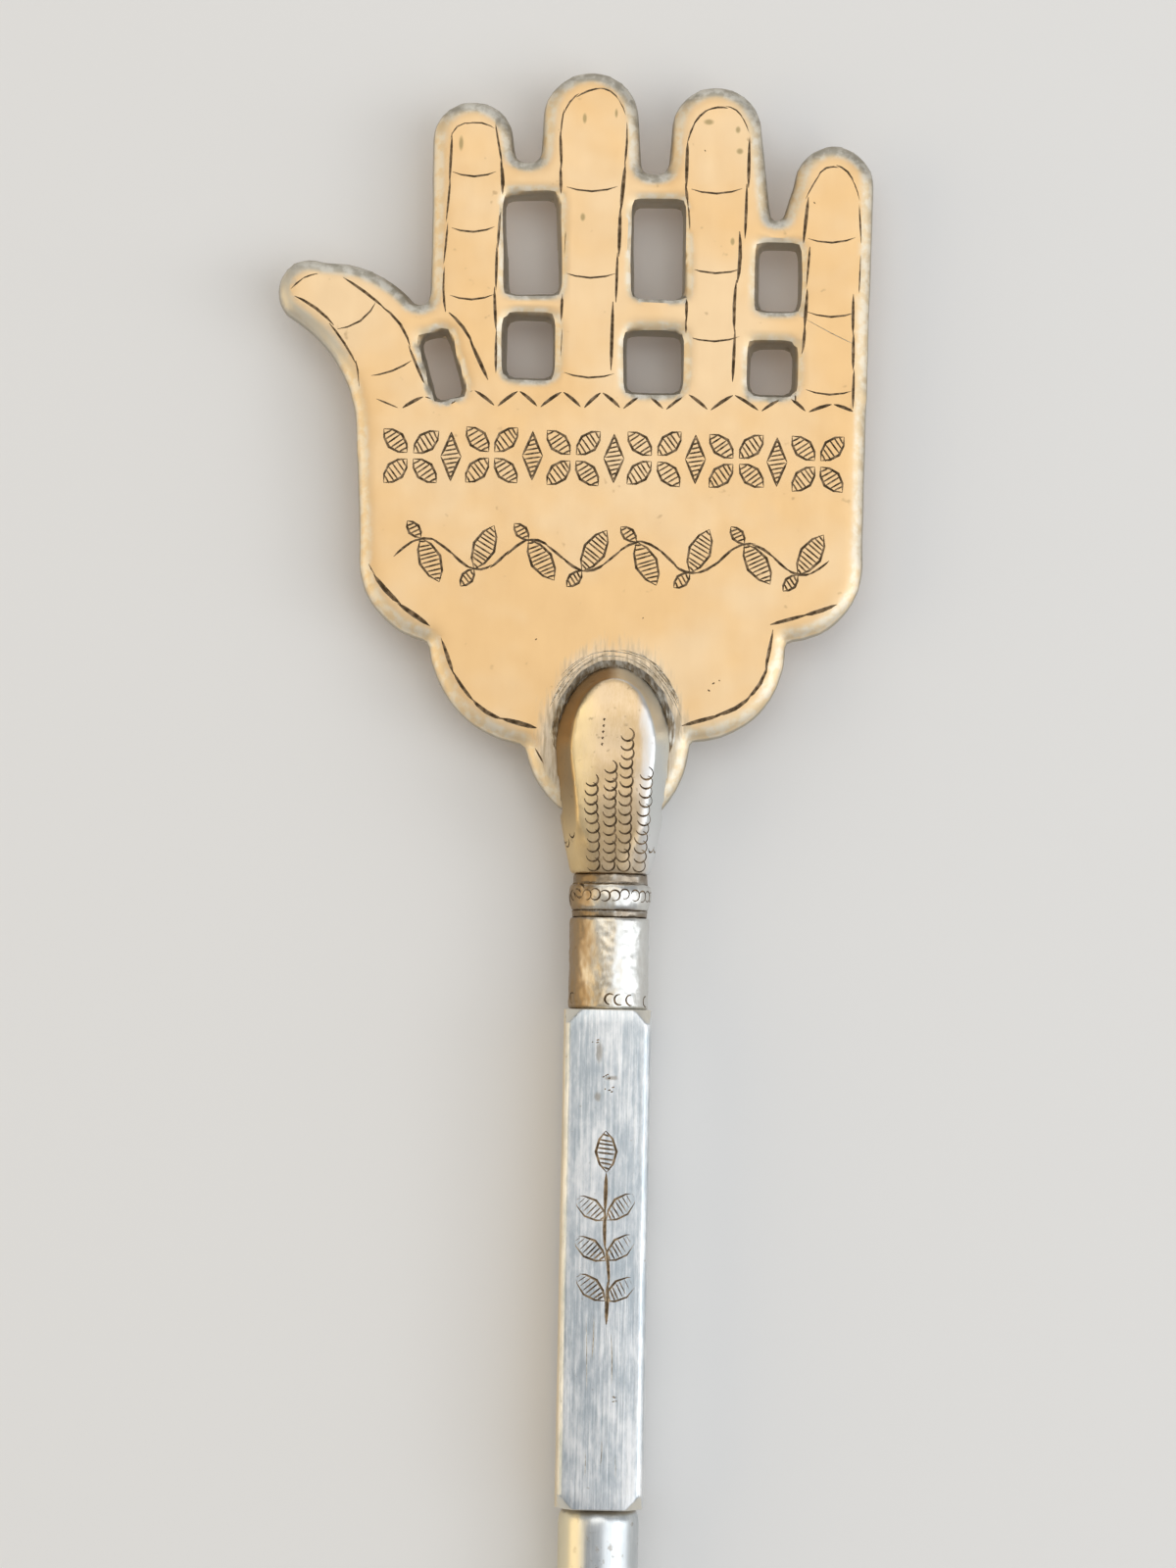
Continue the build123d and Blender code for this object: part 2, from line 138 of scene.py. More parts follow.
def burin_cuts(piece, cuts, patina):
    """Cuts strokes into a piece. A cut is a list of its points, each with a half width.
    Cuts that cross are made one after another, so that each one is taken from a clean surface."""
    passes = []
    for points in cuts:
        low = Vector(min(point[axis] - half for point, half in points) for axis in range(3))
        high = Vector(max(point[axis] + half for point, half in points) for axis in range(3))
        for one_pass in passes:
            if not any(
                all(low[axis] < other_high[axis] and other_low[axis] < high[axis] for axis in range(3))
                for _, other_low, other_high in one_pass
            ):
                break
        else:
            one_pass = []
            passes.append(one_pass)
        one_pass.append((points, low, high))
    for one_pass in passes:
        line = bpy.data.curves.new("burin", "CURVE")
        line.dimensions = "3D"
        line.twist_mode = "Z_UP"
        line.bevel_depth = 1.0
        line.bevel_resolution = 0
        line.use_fill_caps = True
        for points, _, _ in one_pass:
            spline = line.splines.new("POLY")
            spline.points.add(len(points) - 1)
            for knot, (point, half) in zip(spline.points, points):
                knot.co = (*point, 1)
                knot.radius = half
        burin = bpy.data.objects.new("burin", line)
        bpy.context.collection.objects.link(burin)
        take_up(burin)
        bpy.ops.object.convert(target="MESH")
        bpy.ops.object.mode_set(mode="EDIT")
        bpy.ops.mesh.select_all(action="SELECT")
        bpy.ops.mesh.remove_doubles(threshold=MERGE_DISTANCE / 10)
        bpy.ops.mesh.normals_make_consistent(inside=False)
        bpy.ops.object.mode_set(mode="OBJECT")
        burin.data.materials.clear()
        burin.data.materials.append(patina)
        take_up(piece)
        carving = piece.modifiers.new("cut", "BOOLEAN")
        carving.operation = "DIFFERENCE"
        carving.solver = "MANIFOLD"
        carving.material_mode = "TRANSFER"
        carving.object = burin
        bpy.ops.object.modifier_apply(modifier=carving.name)
        bpy.data.objects.remove(burin)
    sweep_off(piece)
    piece.active_material_index = piece.data.materials.find(patina.name)
    bpy.ops.object.mode_set(mode="EDIT")
    bpy.ops.mesh.select_all(action="DESELECT")
    bpy.ops.object.material_slot_select()
    bpy.ops.mesh.region_to_loop()
    bpy.ops.mesh.mark_sharp()
    bpy.ops.object.mode_set(mode="OBJECT")


def hand_over(piece):
    """Shades a finished piece smooth between its sharp edges."""
    take_up(piece)
    bpy.ops.object.shade_smooth_by_angle(angle=SMOOTH_ANGLE, keep_sharp_edges=True)


class Field:
    """A socket of a material's nodes. Sums on it are written as Python expressions."""

    def __init__(self, tree, socket=None):
        self.tree = tree
        self.socket = socket

    def node(self, kind, settings, inputs, output=0):
        """Adds a node with its settings first, then values or links for its sockets, and gives one output."""
        added = self.tree.nodes.new(kind)
        for name, value in settings.items():
            setattr(added, name, value)
        for name, value in inputs.items():
            if isinstance(value, Field):
                self.tree.links.new(value.socket, added.inputs[name])
            else:
                added.inputs[name].default_value = value
        return Field(self.tree, added.outputs[output])

    def sum(self, operation, first, second):
        """A node for one step of a sum."""
        return self.node("ShaderNodeMath", {"operation": operation}, {0: first, 1: second})

    def __add__(self, other):
        return self.sum("ADD", self, other)

    def __sub__(self, other):
        return self.sum("SUBTRACT", self, other)

    def __mul__(self, other):
        return self.sum("MULTIPLY", self, other)

    def __rsub__(self, other):
        return self.sum("SUBTRACT", other, self)

    __radd__ = __add__
    __rmul__ = __mul__

    def between(self, low, high):
        """0 below low, 1 above high, smooth between them."""
        inputs = {"Value": self, "From Min": low, "From Max": high}
        return self.node("ShaderNodeMapRange", {"interpolation_type": "SMOOTHSTEP"}, inputs)

    def blend(self, first, second):
        """One colour where this is 0 and another where it is 1."""
        inputs = {0: self, 6: first, 7: second}
        return self.node("ShaderNodeMix", {"data_type": "RGBA"}, inputs, output=2)


def new_silver(name):
    """An empty metal material: its nodes and its shader."""
    material = bpy.data.materials.new(name)
    material.use_nodes = True
    shader = material.node_tree.nodes["Principled BSDF"]
    shader.inputs["Metallic"].default_value = 1.0
    return material, Field(material.node_tree), shader


def grain(field, size, stretch=(1, 1, 1), detail=3.0, roughness=0.55):
    """Noise over the piece, with grains of a size in millimetres, drawn out along an axis by stretch."""
    point = field.node("ShaderNodeTexCoord", {}, {}, output="Object")
    scale = [1 / (size * MM * share) for share in stretch]
    mapped = field.node("ShaderNodeMapping", {}, {"Vector": point, "Scale": scale})
    inputs = {"Vector": mapped, "Scale": 1.0, "Detail": detail, "Roughness": roughness}
    return field.node("ShaderNodeTexNoise", {}, inputs)


def reach(field, centre, halves):
    """How far a point of the piece is from a centre, counted in a half size along each axis. A half size of 0
    leaves its axis out."""
    point = field.node("ShaderNodeTexCoord", {}, {}, output="Object")
    centre = Vector(centre) * MM
    scale = Vector(1 / (half * MM) if half else 0 for half in halves)
    offset = field.node("ShaderNodeVectorMath", {"operation": "SUBTRACT"}, {0: point, 1: centre})
    share = field.node("ShaderNodeVectorMath", {"operation": "MULTIPLY"}, {0: offset, 1: scale})
    return field.node("ShaderNodeVectorMath", {"operation": "LENGTH"}, {0: share}, output="Value")


def facing(field, axis):
    """How far the surface turns towards an axis, from -1 to 1."""
    normal = field.node("ShaderNodeTexCoord", {}, {}, output="Normal")
    return field.node("ShaderNodeSeparateXYZ", {}, {0: normal}, output=axis)


def finish_silver(field, shader, colour, roughness, height, depth):
    """Joins a silver's colour, roughness and relief to its shader."""
    tree = field.tree
    tree.links.new(colour.socket, shader.inputs["Base Color"])
    tree.links.new(roughness.socket, shader.inputs["Roughness"])
    relief = field.node("ShaderNodeBump", {}, {"Height": height, "Strength": 1.0, "Distance": depth * MM})
    tree.links.new(relief.socket, shader.inputs["Normal"])


PLATE_TONE = (0.86, 0.59, 0.30, 1)
PLATE_PALE = (0.88, 0.66, 0.40, 1)
PLATE_STAIN = (0.44, 0.30, 0.16, 1)
SCRAPED_DARK = (0.50, 0.44, 0.34, 1)
SCRAPED_LIGHT = (0.84, 0.78, 0.66, 1)
MOUTH_SHADE = (0.20, 0.15, 0.09, 1)
RIM_CREAM = (0.86, 0.70, 0.46, 1)
RIM_WHITE = (0.90, 0.84, 0.70, 1)
RIM_REFLECTION_DARK = (0.36, 0.345, 0.30, 1)
RIM_REFLECTION_LIGHT = (0.64, 0.61, 0.54, 1)
THUMB_SILVER = (0.62, 0.58, 0.49, 1)
SAWN_GREY = (0.40, 0.37, 0.31, 1)
THUMB_TIP = (-22.0, 151.0, 4.8)
MOUTH_CENTRE = Vector((0.0, 121.9, 4.8))
MOUTH_REACH = (4.5, 6.3)
plate_silver, field, shader = new_silver("plate_silver")
cloud = grain(field, 9.0)
smear = grain(field, 2.2, detail=5.0)
scuff = grain(field, 0.5, (1, 6, 1), 4.0)
stain = grain(field, 1.1, detail=2.0).between(0.70, 0.78)
colour = cloud.between(0.35, 0.65).blend(PLATE_TONE, PLATE_PALE)
colour = (stain * 0.5).blend(colour, PLATE_STAIN)
SPOTS = (
    (-11.25, 163.7, 0.14, 0.45), (-2.75, 165.6, 0.12, 0.30), (-0.57, 166.0, 0.10, 0.30),
    (5.82, 165.5, 0.30, 0.18), (7.85, 165.0, 0.16, 0.22), (8.0, 163.5, 0.22, 0.20),
    (7.6, 157.2, 0.12, 0.22), (-2.75, 158.7, 0.15, 0.25),
)
SPOT_OLIVE = (0.36, 0.28, 0.13, 1)
for x, y, half_width, half_height in SPOTS:
    spot = reach(field, (x, y, 0), (half_width, half_height, 0)) + 0.8 * smear
    colour = ((1 - spot.between(0.9, 1.9)) * 0.75).blend(colour, SPOT_OLIVE)
oval = reach(field, MOUTH_CENTRE, (*MOUTH_REACH, 0))
drag = grain(field, 0.22, (1, 7, 1), 4.0)
scrape = drag.between(0.38, 0.62).blend(SCRAPED_DARK, SCRAPED_LIGHT)
scraped = 1 - (oval + 0.4 * drag + 0.3 * smear).between(1.34, 1.62)
colour = (scraped * 0.7).blend(colour, scrape)
# Painted shadow: a dark band round the socket's mouth, where the socket meets the plate.
mouth_shade = 1 - (oval + 0.15 * drag + 0.2 * smear).between(1.16, 1.28)
colour = (mouth_shade * 0.35).blend(colour, MOUTH_SHADE)
upright = facing(field, "Z") * facing(field, "Z")
# The filed rim turns cream and white on its tilted faces: partly filed silver, partly a painted highlight.
filed = 1 - (upright + 0.06 * smear).between(0.90, 1.02)
# Painted reflection: the rim turns grey where it faces the fingertips and the right.
turned = (0.3 * facing(field, "X") + facing(field, "Y") + 0.3 * smear).between(0.2, 0.6)
thumb = 1 - reach(field, THUMB_TIP, (5, 5, 0)).between(0.6, 1.0)
mottle = grain(field, 0.7, detail=5.0)
rim_wear_and_sheen = mottle.between(0.38, 0.62).blend(RIM_CREAM, RIM_WHITE)
colour = (filed * 0.75).blend(colour, rim_wear_and_sheen)
rim_reflection = mottle.between(0.38, 0.62).blend(RIM_REFLECTION_DARK, RIM_REFLECTION_LIGHT)
colour = (filed * turned * 0.85).blend(colour, rim_reflection)
colour = (filed * thumb * 0.8).blend(colour, THUMB_SILVER)
sawn = 1 - upright.between(0.05, 0.3)
colour = (sawn * 0.8).blend(colour, SAWN_GREY)
gloss = 0.42 + 0.14 * smear + 0.06 * scuff
finish_silver(field, shader, colour, gloss, cloud * 0.6 + smear * 0.2 + scuff * 0.05, 0.03)

PATINA_DARK = (0.20, 0.15, 0.095, 1)
PATINA_LIGHT = (0.52, 0.41, 0.28, 1)
cut_patina, field, shader = new_silver("cut_patina")
grime = grain(field, 0.4)
colour = grime.between(0.35, 0.7).blend(PATINA_DARK, PATINA_LIGHT)
finish_silver(field, shader, colour, 0.42 + 0.2 * grime, grime, 0.01)

BRIGHT_DARK = (0.48, 0.42, 0.33, 1)
BRIGHT_LIGHT = (0.78, 0.74, 0.66, 1)
bright_cut, field, shader = new_silver("bright_cut")
glint = grain(field, 0.3)
colour = glint.between(0.35, 0.7).blend(BRIGHT_DARK, BRIGHT_LIGHT)
finish_silver(field, shader, colour, 0.3 + 0.2 * glint, glint, 0.01)

BURIN_LAP = 0.30
BURIN_DRIFT = 0.10
BURIN_SWELL = ((0.0, 0.25), (0.2, 0.8), (0.5, 1.0), (0.8, 0.85), (1.0, 0.2))
SLIGHT_BOW = 0.05
LEAF_LINE = 0.20
HATCH_LINE = 0.14
HATCH_PITCH = 0.31
HATCH_LEAN = 0.1
HATCH_DRIFT = 0.15


def stroke(start, end, width, bow, level):
    """One push of the burin on a flat, in millimetres. It goes from fine to full width and out again,
    and bows to its left."""
    start = Vector(start)
    chord = Vector(end) - start
    left = Vector((-chord.y, chord.x)).normalized()
    points = []
    for share, swell in BURIN_SWELL:
        point = start + chord * share + left * (bow * 4 * share * (1 - share))
        points.append((Vector((point.x, point.y, level)) * MM, swell * width / 2 * MM))
    return points


def point_along(path, run):
    """The place at a length along a path of straight runs."""
    for start, end in zip(path, path[1:]):
        length = (end - start).length
        if run <= length:
            return start.lerp(end, run / length)
        run -= length
    return path[-1].copy()


def dashes(path, dash, width, level):
    """Strokes along a path, each set down just before the end of the last and not quite in line with it."""
    path = [Vector(point) for point in path]
    total = sum((end - start).length for start, end in zip(path, path[1:]))
    count = max(1, round(total / dash))
    strokes = []
    for number in range(count):
        start = point_along(path, total * number / count - BURIN_LAP)
        middle = point_along(path, total * (number + 0.5) / count)
        end = point_along(path, total * (number + 1) / count)
        chord = end - start
        bow = (middle - (start + end) / 2).dot(Vector((-chord.y, chord.x)).normalized())
        drift = Vector((unsteady.uniform(-1, 1), unsteady.uniform(-1, 1))) * BURIN_DRIFT
        swell = unsteady.uniform(0.8, 1.15)
        strokes.append(stroke(start + drift, end - drift * 0.5, width * swell, bow, level))
    return strokes


def leaf(foot, heading, length, width, level):
    """A pointed leaf: two bowed outlines from foot to tip, filled with strokes across."""
    along = Vector((math.cos(heading), math.sin(heading)))
    across = Vector((-along.y, along.x))
    foot = Vector(foot)
    tip = foot + along * length
    cuts = [
        stroke(foot, tip, LEAF_LINE, width / 2, level),
        stroke(tip, foot, LEAF_LINE, width / 2, level),
    ]
    count = max(3, round(length / HATCH_PITCH))
    for number in range(1, count):
        share = (number + unsteady.uniform(-HATCH_DRIFT, HATCH_DRIFT)) / count
        half = across * (width * 2 * share * (1 - share)) + along * HATCH_LEAN
        middle = foot + along * (length * share)
        cuts.append(stroke(middle - half, middle + half, HATCH_LINE, 0, level))
    return cuts


def lozenge(centre, half_width, half_height, level):
    """A hatched lozenge."""
    centre = Vector(centre)
    corners = [
        centre + Vector(corner)
        for corner in ((half_width, 0), (0, half_height), (-half_width, 0), (0, -half_height))
    ]
    cuts = [stroke(corners[side - 1], corners[side], LEAF_LINE, SLIGHT_BOW, level) for side in range(4)]
    count = round(2 * half_height / HATCH_PITCH)
    for number in range(1, count):
        rise = (2 * number / count - 1) * half_height
        half = Vector((half_width * (1 - abs(rise) / half_height), HATCH_LEAN))
        middle = centre + Vector((0, rise))
        cuts.append(stroke(middle - half, middle + half, HATCH_LINE, 0, level))
    return cuts


_, plate_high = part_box("hand_plate")
plate_face = plate_high.z / MM
engraving = []

OUTLINE_DASH = 3.0
OUTLINE_WIDTH = 0.26
FINGER_LINES = (
    ((-12.1, 152.3), (-12.3, 153.3), (-12.2, 155.4), (-12.0, 160.8), (-11.9, 164.2)),
    ((-8.9, 165.1), (-8.3, 161.8), (-8.3, 160.5), (-8.5, 157.7), (-8.7, 153.3), (-8.5, 147.7)),
    ((-4.15, 148.0), (-4.0, 151.7), (-4.1, 154.0), (-3.9, 158.1)),
    ((-4.3, 160.0), (-4.4, 164.7)),
    ((0.15, 165.5), (0.25, 164.5), (0.0, 161.6), (-0.2, 157.2), (-0.4, 152.8)),
    ((-0.6, 152.5), (-0.6, 148.1)),
    ((4.5, 148.6), (4.5, 154.2), (4.65, 158.0), (4.3, 161.1), (4.4, 164.3)),
    ((8.7, 164.5), (8.6, 160.5), (8.4, 157.4)),
    ((8.15, 157.7), (8.15, 155.5), (7.8, 153.5), (7.8, 147.4)),
    ((12.1, 146.2), (12.1, 148.4), (12.65, 150.4), (12.9, 156.9)),
    ((12.55, 157.4), (12.75, 160.4)),
    ((16.35, 159.9), (16.5, 156.6), (16.35, 153.3)),
    ((15.95, 153.4), (16.05, 149.2), (16.1, 145.7)),
    ((-19.0, 154.1), (-16.9, 152.7), (-14.9, 150.7), (-14.2, 148.7), (-13.1, 146.2)),
    ((-22.2, 152.8), (-20.8, 151.9), (-19.5, 150.5), (-18.2, 148.3), (-17.9, 146.3), (-18.0, 145.0)),
    ((-11.6, 151.7), (-10.6, 150.6), (-10.0, 149.3), (-9.1, 147.3)),
)
for path in FINGER_LINES:
    engraving += dashes(path, OUTLINE_DASH, OUTLINE_WIDTH, plate_face)

ARCH_DASH = 1.5
ARCH_WIDTH = 0.15
TIP_ARCHES = (
    ((-11.9, 164.2), (-11.65, 164.9), (-10.6, 165.15), (-9.15, 165.1), (-8.9, 164.7)),
    (
        (-4.4, 164.7), (-4.28, 165.9), (-3.9, 166.7), (-3.15, 167.35), (-2.25, 167.65), (-1.3, 167.7),
        (-0.6, 167.3), (-0.1, 166.55), (0.15, 165.5),
    ),
    (
        (4.4, 164.25), (4.7, 165.15), (5.25, 166.0), (6.0, 166.5), (7.0, 166.6), (7.9, 166.25),
        (8.4, 165.5), (8.7, 164.5),
    ),
    (
        (12.8, 160.55), (13.15, 161.4), (13.65, 162.2), (14.25, 162.6), (15.1, 162.5), (15.7, 161.95),
        (16.15, 161.05), (16.35, 159.9),
    ),
    ((-22.85, 153.2), (-22.25, 153.9), (-21.5, 154.3), (-20.5, 154.55), (-19.4, 154.4)),
)
for path in TIP_ARCHES:
    engraving += dashes(path, ARCH_DASH, ARCH_WIDTH, plate_face)

JOINT_WIDTH = 0.15
JOINT_SAG = 0.33
FINGER_JOINTS = (
    (-11.8, -8.8, (161.7, 157.8, 153.1)),
    (-3.9, -0.4, (160.8, 154.8, 147.9)),
    (4.7, 8.2, (160.8, 155.3, 150.5)),
    (12.8, 16.1, (157.5, 152.4, 147.0)),
)
THUMB_JOINTS = (((-19.5, 150.6), (-16.9, 152.5), 0.45), ((-17.1, 147.4), (-14.35, 148.5), 0.2))
for left, right, heights in FINGER_JOINTS:
    for height in heights:
        tilt = unsteady.uniform(-0.1, 0.15)
        engraving.append(stroke((left, height), (right, height + tilt), JOINT_WIDTH, -JOINT_SAG, plate_face))
for start, end, sag in THUMB_JOINTS:
    engraving.append(stroke(start, end, JOINT_WIDTH, -sag, plate_face))

ZIGZAG_PEAKS = (-13.4, -10.0, -6.9, -3.9, -1.2, 1.75, 4.7, 7.9, 11.5, 14.7)
ZIGZAG_VALLEYS = (-14.9, -11.7, -8.35, -5.4, -2.4, 0.3, 3.25, 6.3, 9.8, 13.05, 16.4)
ZIGZAG_TOP = 146.5
ZIGZAG_END_TOP = 146.0
ZIGZAG_FOOT = 145.45
ZIGZAG_FIRST_FOOT = 145.2
ZIGZAG_FALL_FOOT = 145.5
ZIGZAG_WIDTH = 0.25
ZIGZAG_LEAD = ((-16.7, 145.8), (-15.2, 145.2))
for number, peak in enumerate(ZIGZAG_PEAKS):
    top = ZIGZAG_TOP if 0 < number < len(ZIGZAG_PEAKS) - 1 else ZIGZAG_END_TOP
    rise_foot = (ZIGZAG_VALLEYS[number], ZIGZAG_FOOT if number else ZIGZAG_FIRST_FOOT)
    fall_foot = (ZIGZAG_VALLEYS[number + 1] - 0.25, ZIGZAG_FALL_FOOT)
    engraving.append(stroke(rise_foot, (peak - 0.1, top), ZIGZAG_WIDTH, SLIGHT_BOW, plate_face))
    engraving.append(stroke((peak + 0.05, top), fall_foot, ZIGZAG_WIDTH, SLIGHT_BOW, plate_face))
engraving.append(stroke(*ZIGZAG_LEAD, HATCH_LINE, 0, plate_face))

SCALLOP_DASH = 2.4
SCALLOP_WIDTH = 0.33
SCALLOP_LINES = (
    ((-17.6, 135.9), (-17.1, 134.5), (-15.3, 132.0), (-12.6, 130.1)),
    ((-11.9, 129.1), (-10.9, 126.8), (-9.8, 125.2), (-8.4, 124.1), (-5.2, 123.3)),
    ((-5.8, 122.7), (-4.6, 120.7)),
    ((15.1, 132.2), (14.0, 131.7), (10.6, 130.7)),
    ((10.7, 130.1), (10.5, 128.0), (9.9, 126.4), (8.4, 124.9), (4.7, 123.6)),
)
for path in SCALLOP_LINES:
    engraving += dashes(path, SCALLOP_DASH, SCALLOP_WIDTH, plate_face)

ROSETTE_START = -14.3
ROSETTE_ROW = 142.0
ROSETTE_PITCH = 5.6
ROSETTE_COUNT = 6
ROSETTE_EYE = 0.3
ROSETTE_LEAF = (2.3, 1.25)
LOZENGE_HALVES = (0.7, 1.7)
for number in range(ROSETTE_COUNT):
    centre = Vector((ROSETTE_START + ROSETTE_PITCH * number, ROSETTE_ROW + unsteady.uniform(-0.15, 0.15)))
    for quarter in range(4):
        heading = math.radians(45 + 90 * quarter) + unsteady.uniform(-0.06, 0.06)
        foot = centre + Vector((math.cos(heading), math.sin(heading))) * ROSETTE_EYE
        engraving += leaf(foot, heading, *ROSETTE_LEAF, plate_face)
    if number < ROSETTE_COUNT - 1:
        engraving += lozenge(centre + Vector((ROSETTE_PITCH / 2, 0)), *LOZENGE_HALVES, plate_face)

VINE_ROW = 135.2
VINE_START = -15.0
VINE_WAVE = 7.4
VINE_SWING = 1.1
VINE_WAVES = 4
VINE_STEPS = 10
VINE_DASH = 1.5
VINE_WIDTH = 0.2
LARGE_LEAF = (3.3, 1.5)
LARGE_LEAN = math.radians(62)
SMALL_LEAF = (1.5, 0.8)
SMALL_LEAN = math.radians(48)
stem = []
for step in range(VINE_WAVES * VINE_STEPS + 1):
    along = VINE_START + VINE_WAVE * step / VINE_STEPS
    stem.append((along, VINE_ROW + VINE_SWING * math.sin(math.tau * step / VINE_STEPS)))
engraving += dashes(stem, VINE_DASH, VINE_WIDTH, plate_face)
for number in range(2 * VINE_WAVES):
    side = 1 if number % 2 else -1
    foot = (VINE_START + VINE_WAVE * (number + 0.42) / 2, VINE_ROW - side * VINE_SWING * 0.95)
    heading = side * LARGE_LEAN + unsteady.uniform(-0.1, 0.1)
    engraving += leaf(foot, heading, *LARGE_LEAF, plate_face)
    heading = math.pi + side * SMALL_LEAN + unsteady.uniform(-0.1, 0.1)
    engraving += leaf(foot, heading, *SMALL_LEAF, plate_face)

PITS = (
    (6.8, 126.6, 0.1), (6.5, 126.1, 0.12), (7.2, 126.8, 0.1), (1.9, 131.0, 0.09), (-5.4, 129.4, 0.09),
    (13.2, 160.0, 0.1), (5.6, 163.5, 0.09),
)
for x, y, size in PITS:
    lean = Vector((unsteady.uniform(-0.1, 0.1), size * 0.6))
    engraving.append(stroke(Vector((x, y)) - lean, Vector((x, y)) + lean, size, 0, plate_face))

LONG_SCRATCH = ((12.2, 152.2), (16.8, 149.9))
FILE_MARKS = 26
MARK_STEPS = 3
MARK_DASH = 9.0
MARK_WIDTH = 0.08
scratches = [stroke(*LONG_SCRATCH, 0.06, -0.1, plate_face)]
for _ in range(FILE_MARKS):
    first = math.radians(unsteady.uniform(-8, 150))
    sweep = math.radians(unsteady.uniform(14, 34))
    gap = unsteady.uniform(0.05, 0.75)
    mark = [
        MOUTH_CENTRE.xy + Vector((
            (MOUTH_REACH[0] + gap) * math.cos(first + sweep * step / MARK_STEPS),
            (MOUTH_REACH[1] + gap) * math.sin(first + sweep * step / MARK_STEPS),
        ))
        for step in range(MARK_STEPS + 1)
    ]
    scratches += dashes(mark, MARK_DASH, MARK_WIDTH, plate_face)

engraved_hand = bench_copy("hand_plate", "engraved_hand")
even_out(engraved_hand, 7, 1)
file_by_hand(engraved_hand, (0.06, 0.06, 0.012), 2.6)
engraved_hand.data.materials.append(plate_silver)
burin_cuts(engraved_hand, engraving, cut_patina)
burin_cuts(engraved_hand, scratches, bright_cut)
hand_over(engraved_hand)

# Solder: the run of silver solder that holds the plate in its slot, front and back.
# It was flooded in hot and scraped down with a file, which leaves it grey, lumpy and streaked.

FLAT_ANGLE = math.radians(0.4)
SHARP_ANGLE = math.radians(24)
CELL_SHIFT = 0.137
COARSE_CELL = 2.5
SLIVER = 0.01


def rule_off(node, spacing):
    """Cuts the mesh in hand across in cells, spaced in millimetres along each axis, and marks the cuts."""
    low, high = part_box(node)
    for axis in range(3):
        count = round((high[axis] - low[axis]) / (spacing[axis] * MM))
        normal = Vector((axis == 0, axis == 1, axis == 2))
        for number in range(1, count):
            bpy.ops.mesh.select_all(action="SELECT")
            level = normal * (low[axis] + (number + CELL_SHIFT) * (high[axis] - low[axis]) / count)
            bpy.ops.mesh.bisect(plane_co=level, plane_no=normal)
            bpy.ops.mesh.mark_seam()
    bpy.ops.mesh.select_all(action="SELECT")


def wear_edges(piece, node, edge_round, cell):
    """Cleans up a piece's flats and wears its sharp edges round. Then cuts it in cells, so that its surface
    can waver."""
    take_up(piece)
    bpy.ops.object.mode_set(mode="EDIT")
    rule_off(node, (COARSE_CELL, COARSE_CELL, COARSE_CELL))
    bpy.ops.mesh.dissolve_limited(angle_limit=FLAT_ANGLE, delimit={"SEAM"})
    bpy.ops.object.mode_set(mode="OBJECT")
    worn = piece.modifiers.new("worn_edges", "BEVEL")
    worn.limit_method = "ANGLE"
    worn.angle_limit = SHARP_ANGLE
    worn.width = edge_round * MM
    worn.segments = 3
    worn.use_clamp_overlap = False
    bpy.ops.object.modifier_apply(modifier=worn.name)
    bpy.ops.object.mode_set(mode="EDIT")
    rule_off(node, cell)
    bpy.ops.mesh.mark_seam(clear=True)
    bpy.ops.mesh.remove_doubles(threshold=SLIVER * MM)
    bpy.ops.object.mode_set(mode="OBJECT")


def place(field, axis):
    """Where a point of the piece lies along an axis, in millimetres."""
    point = field.node("ShaderNodeTexCoord", {}, {}, output="Object")
    return field.node("ShaderNodeSeparateXYZ", {}, {0: point}, output=axis) * (1 / MM)


SHAFT_HEIGHT = 3.6
SOLDER_DARK = (0.15, 0.11, 0.065, 1)
SOLDER_LIGHT = (0.68, 0.65, 0.57, 1)
solder_grey, field, shader = new_silver("solder_grey")
lump = grain(field, 0.8, detail=4.0)
drag = grain(field, 0.2, (1, 7, 1), 4.0)
oval = reach(field, MOUTH_CENTRE, (*MOUTH_REACH, 0))
# The solder darkens next to the socket, partly its own tarnish and partly painted shade, and a painted shadow
# darkens its top end; further out it is scraped lighter.
top_shadow = place(field, "Y").between(124.0, 127.0)
clean = (oval + 0.45 * drag + 0.15 * lump).between(1.16, 1.34) * (1 - 0.6 * top_shadow)
colour = clean.blend(SOLDER_DARK, SOLDER_LIGHT)
finish_silver(field, shader, colour, 0.36 + 0.2 * drag, lump + drag * 0.4, 0.05)

solder_run = bench_copy("socket_solder", "solder_run")
wear_edges(solder_run, "socket_solder", 0.1, (0.25, 0.25, 0.25))
rub_down(solder_run, 2)
SOLDER_TAPER = (120.4, 123.6)
TAPER_IN = 0.4
TAPER_DOWN = 0.35
for vertex in solder_run.data.vertices:
    thin = min(max((SOLDER_TAPER[1] - vertex.co.y / MM) / (SOLDER_TAPER[1] - SOLDER_TAPER[0]), 0), 1)
    vertex.co.x -= math.copysign(TAPER_IN * thin * MM, vertex.co.x)
    vertex.co.z -= math.copysign(TAPER_DOWN * thin * MM, vertex.co.z - SHAFT_HEIGHT * MM)
file_by_hand(solder_run, (0.13, 0.13, 0.09), 0.9)
solder_run.data.materials.append(solder_grey)
hand_over(solder_run)

# Socket: a bulb filed from bar, slotted for the plate, with a flat oval face on the front and the back.
# Columns of scales are struck on the front with a hollow punch, tilted so that only its lower lip cuts.

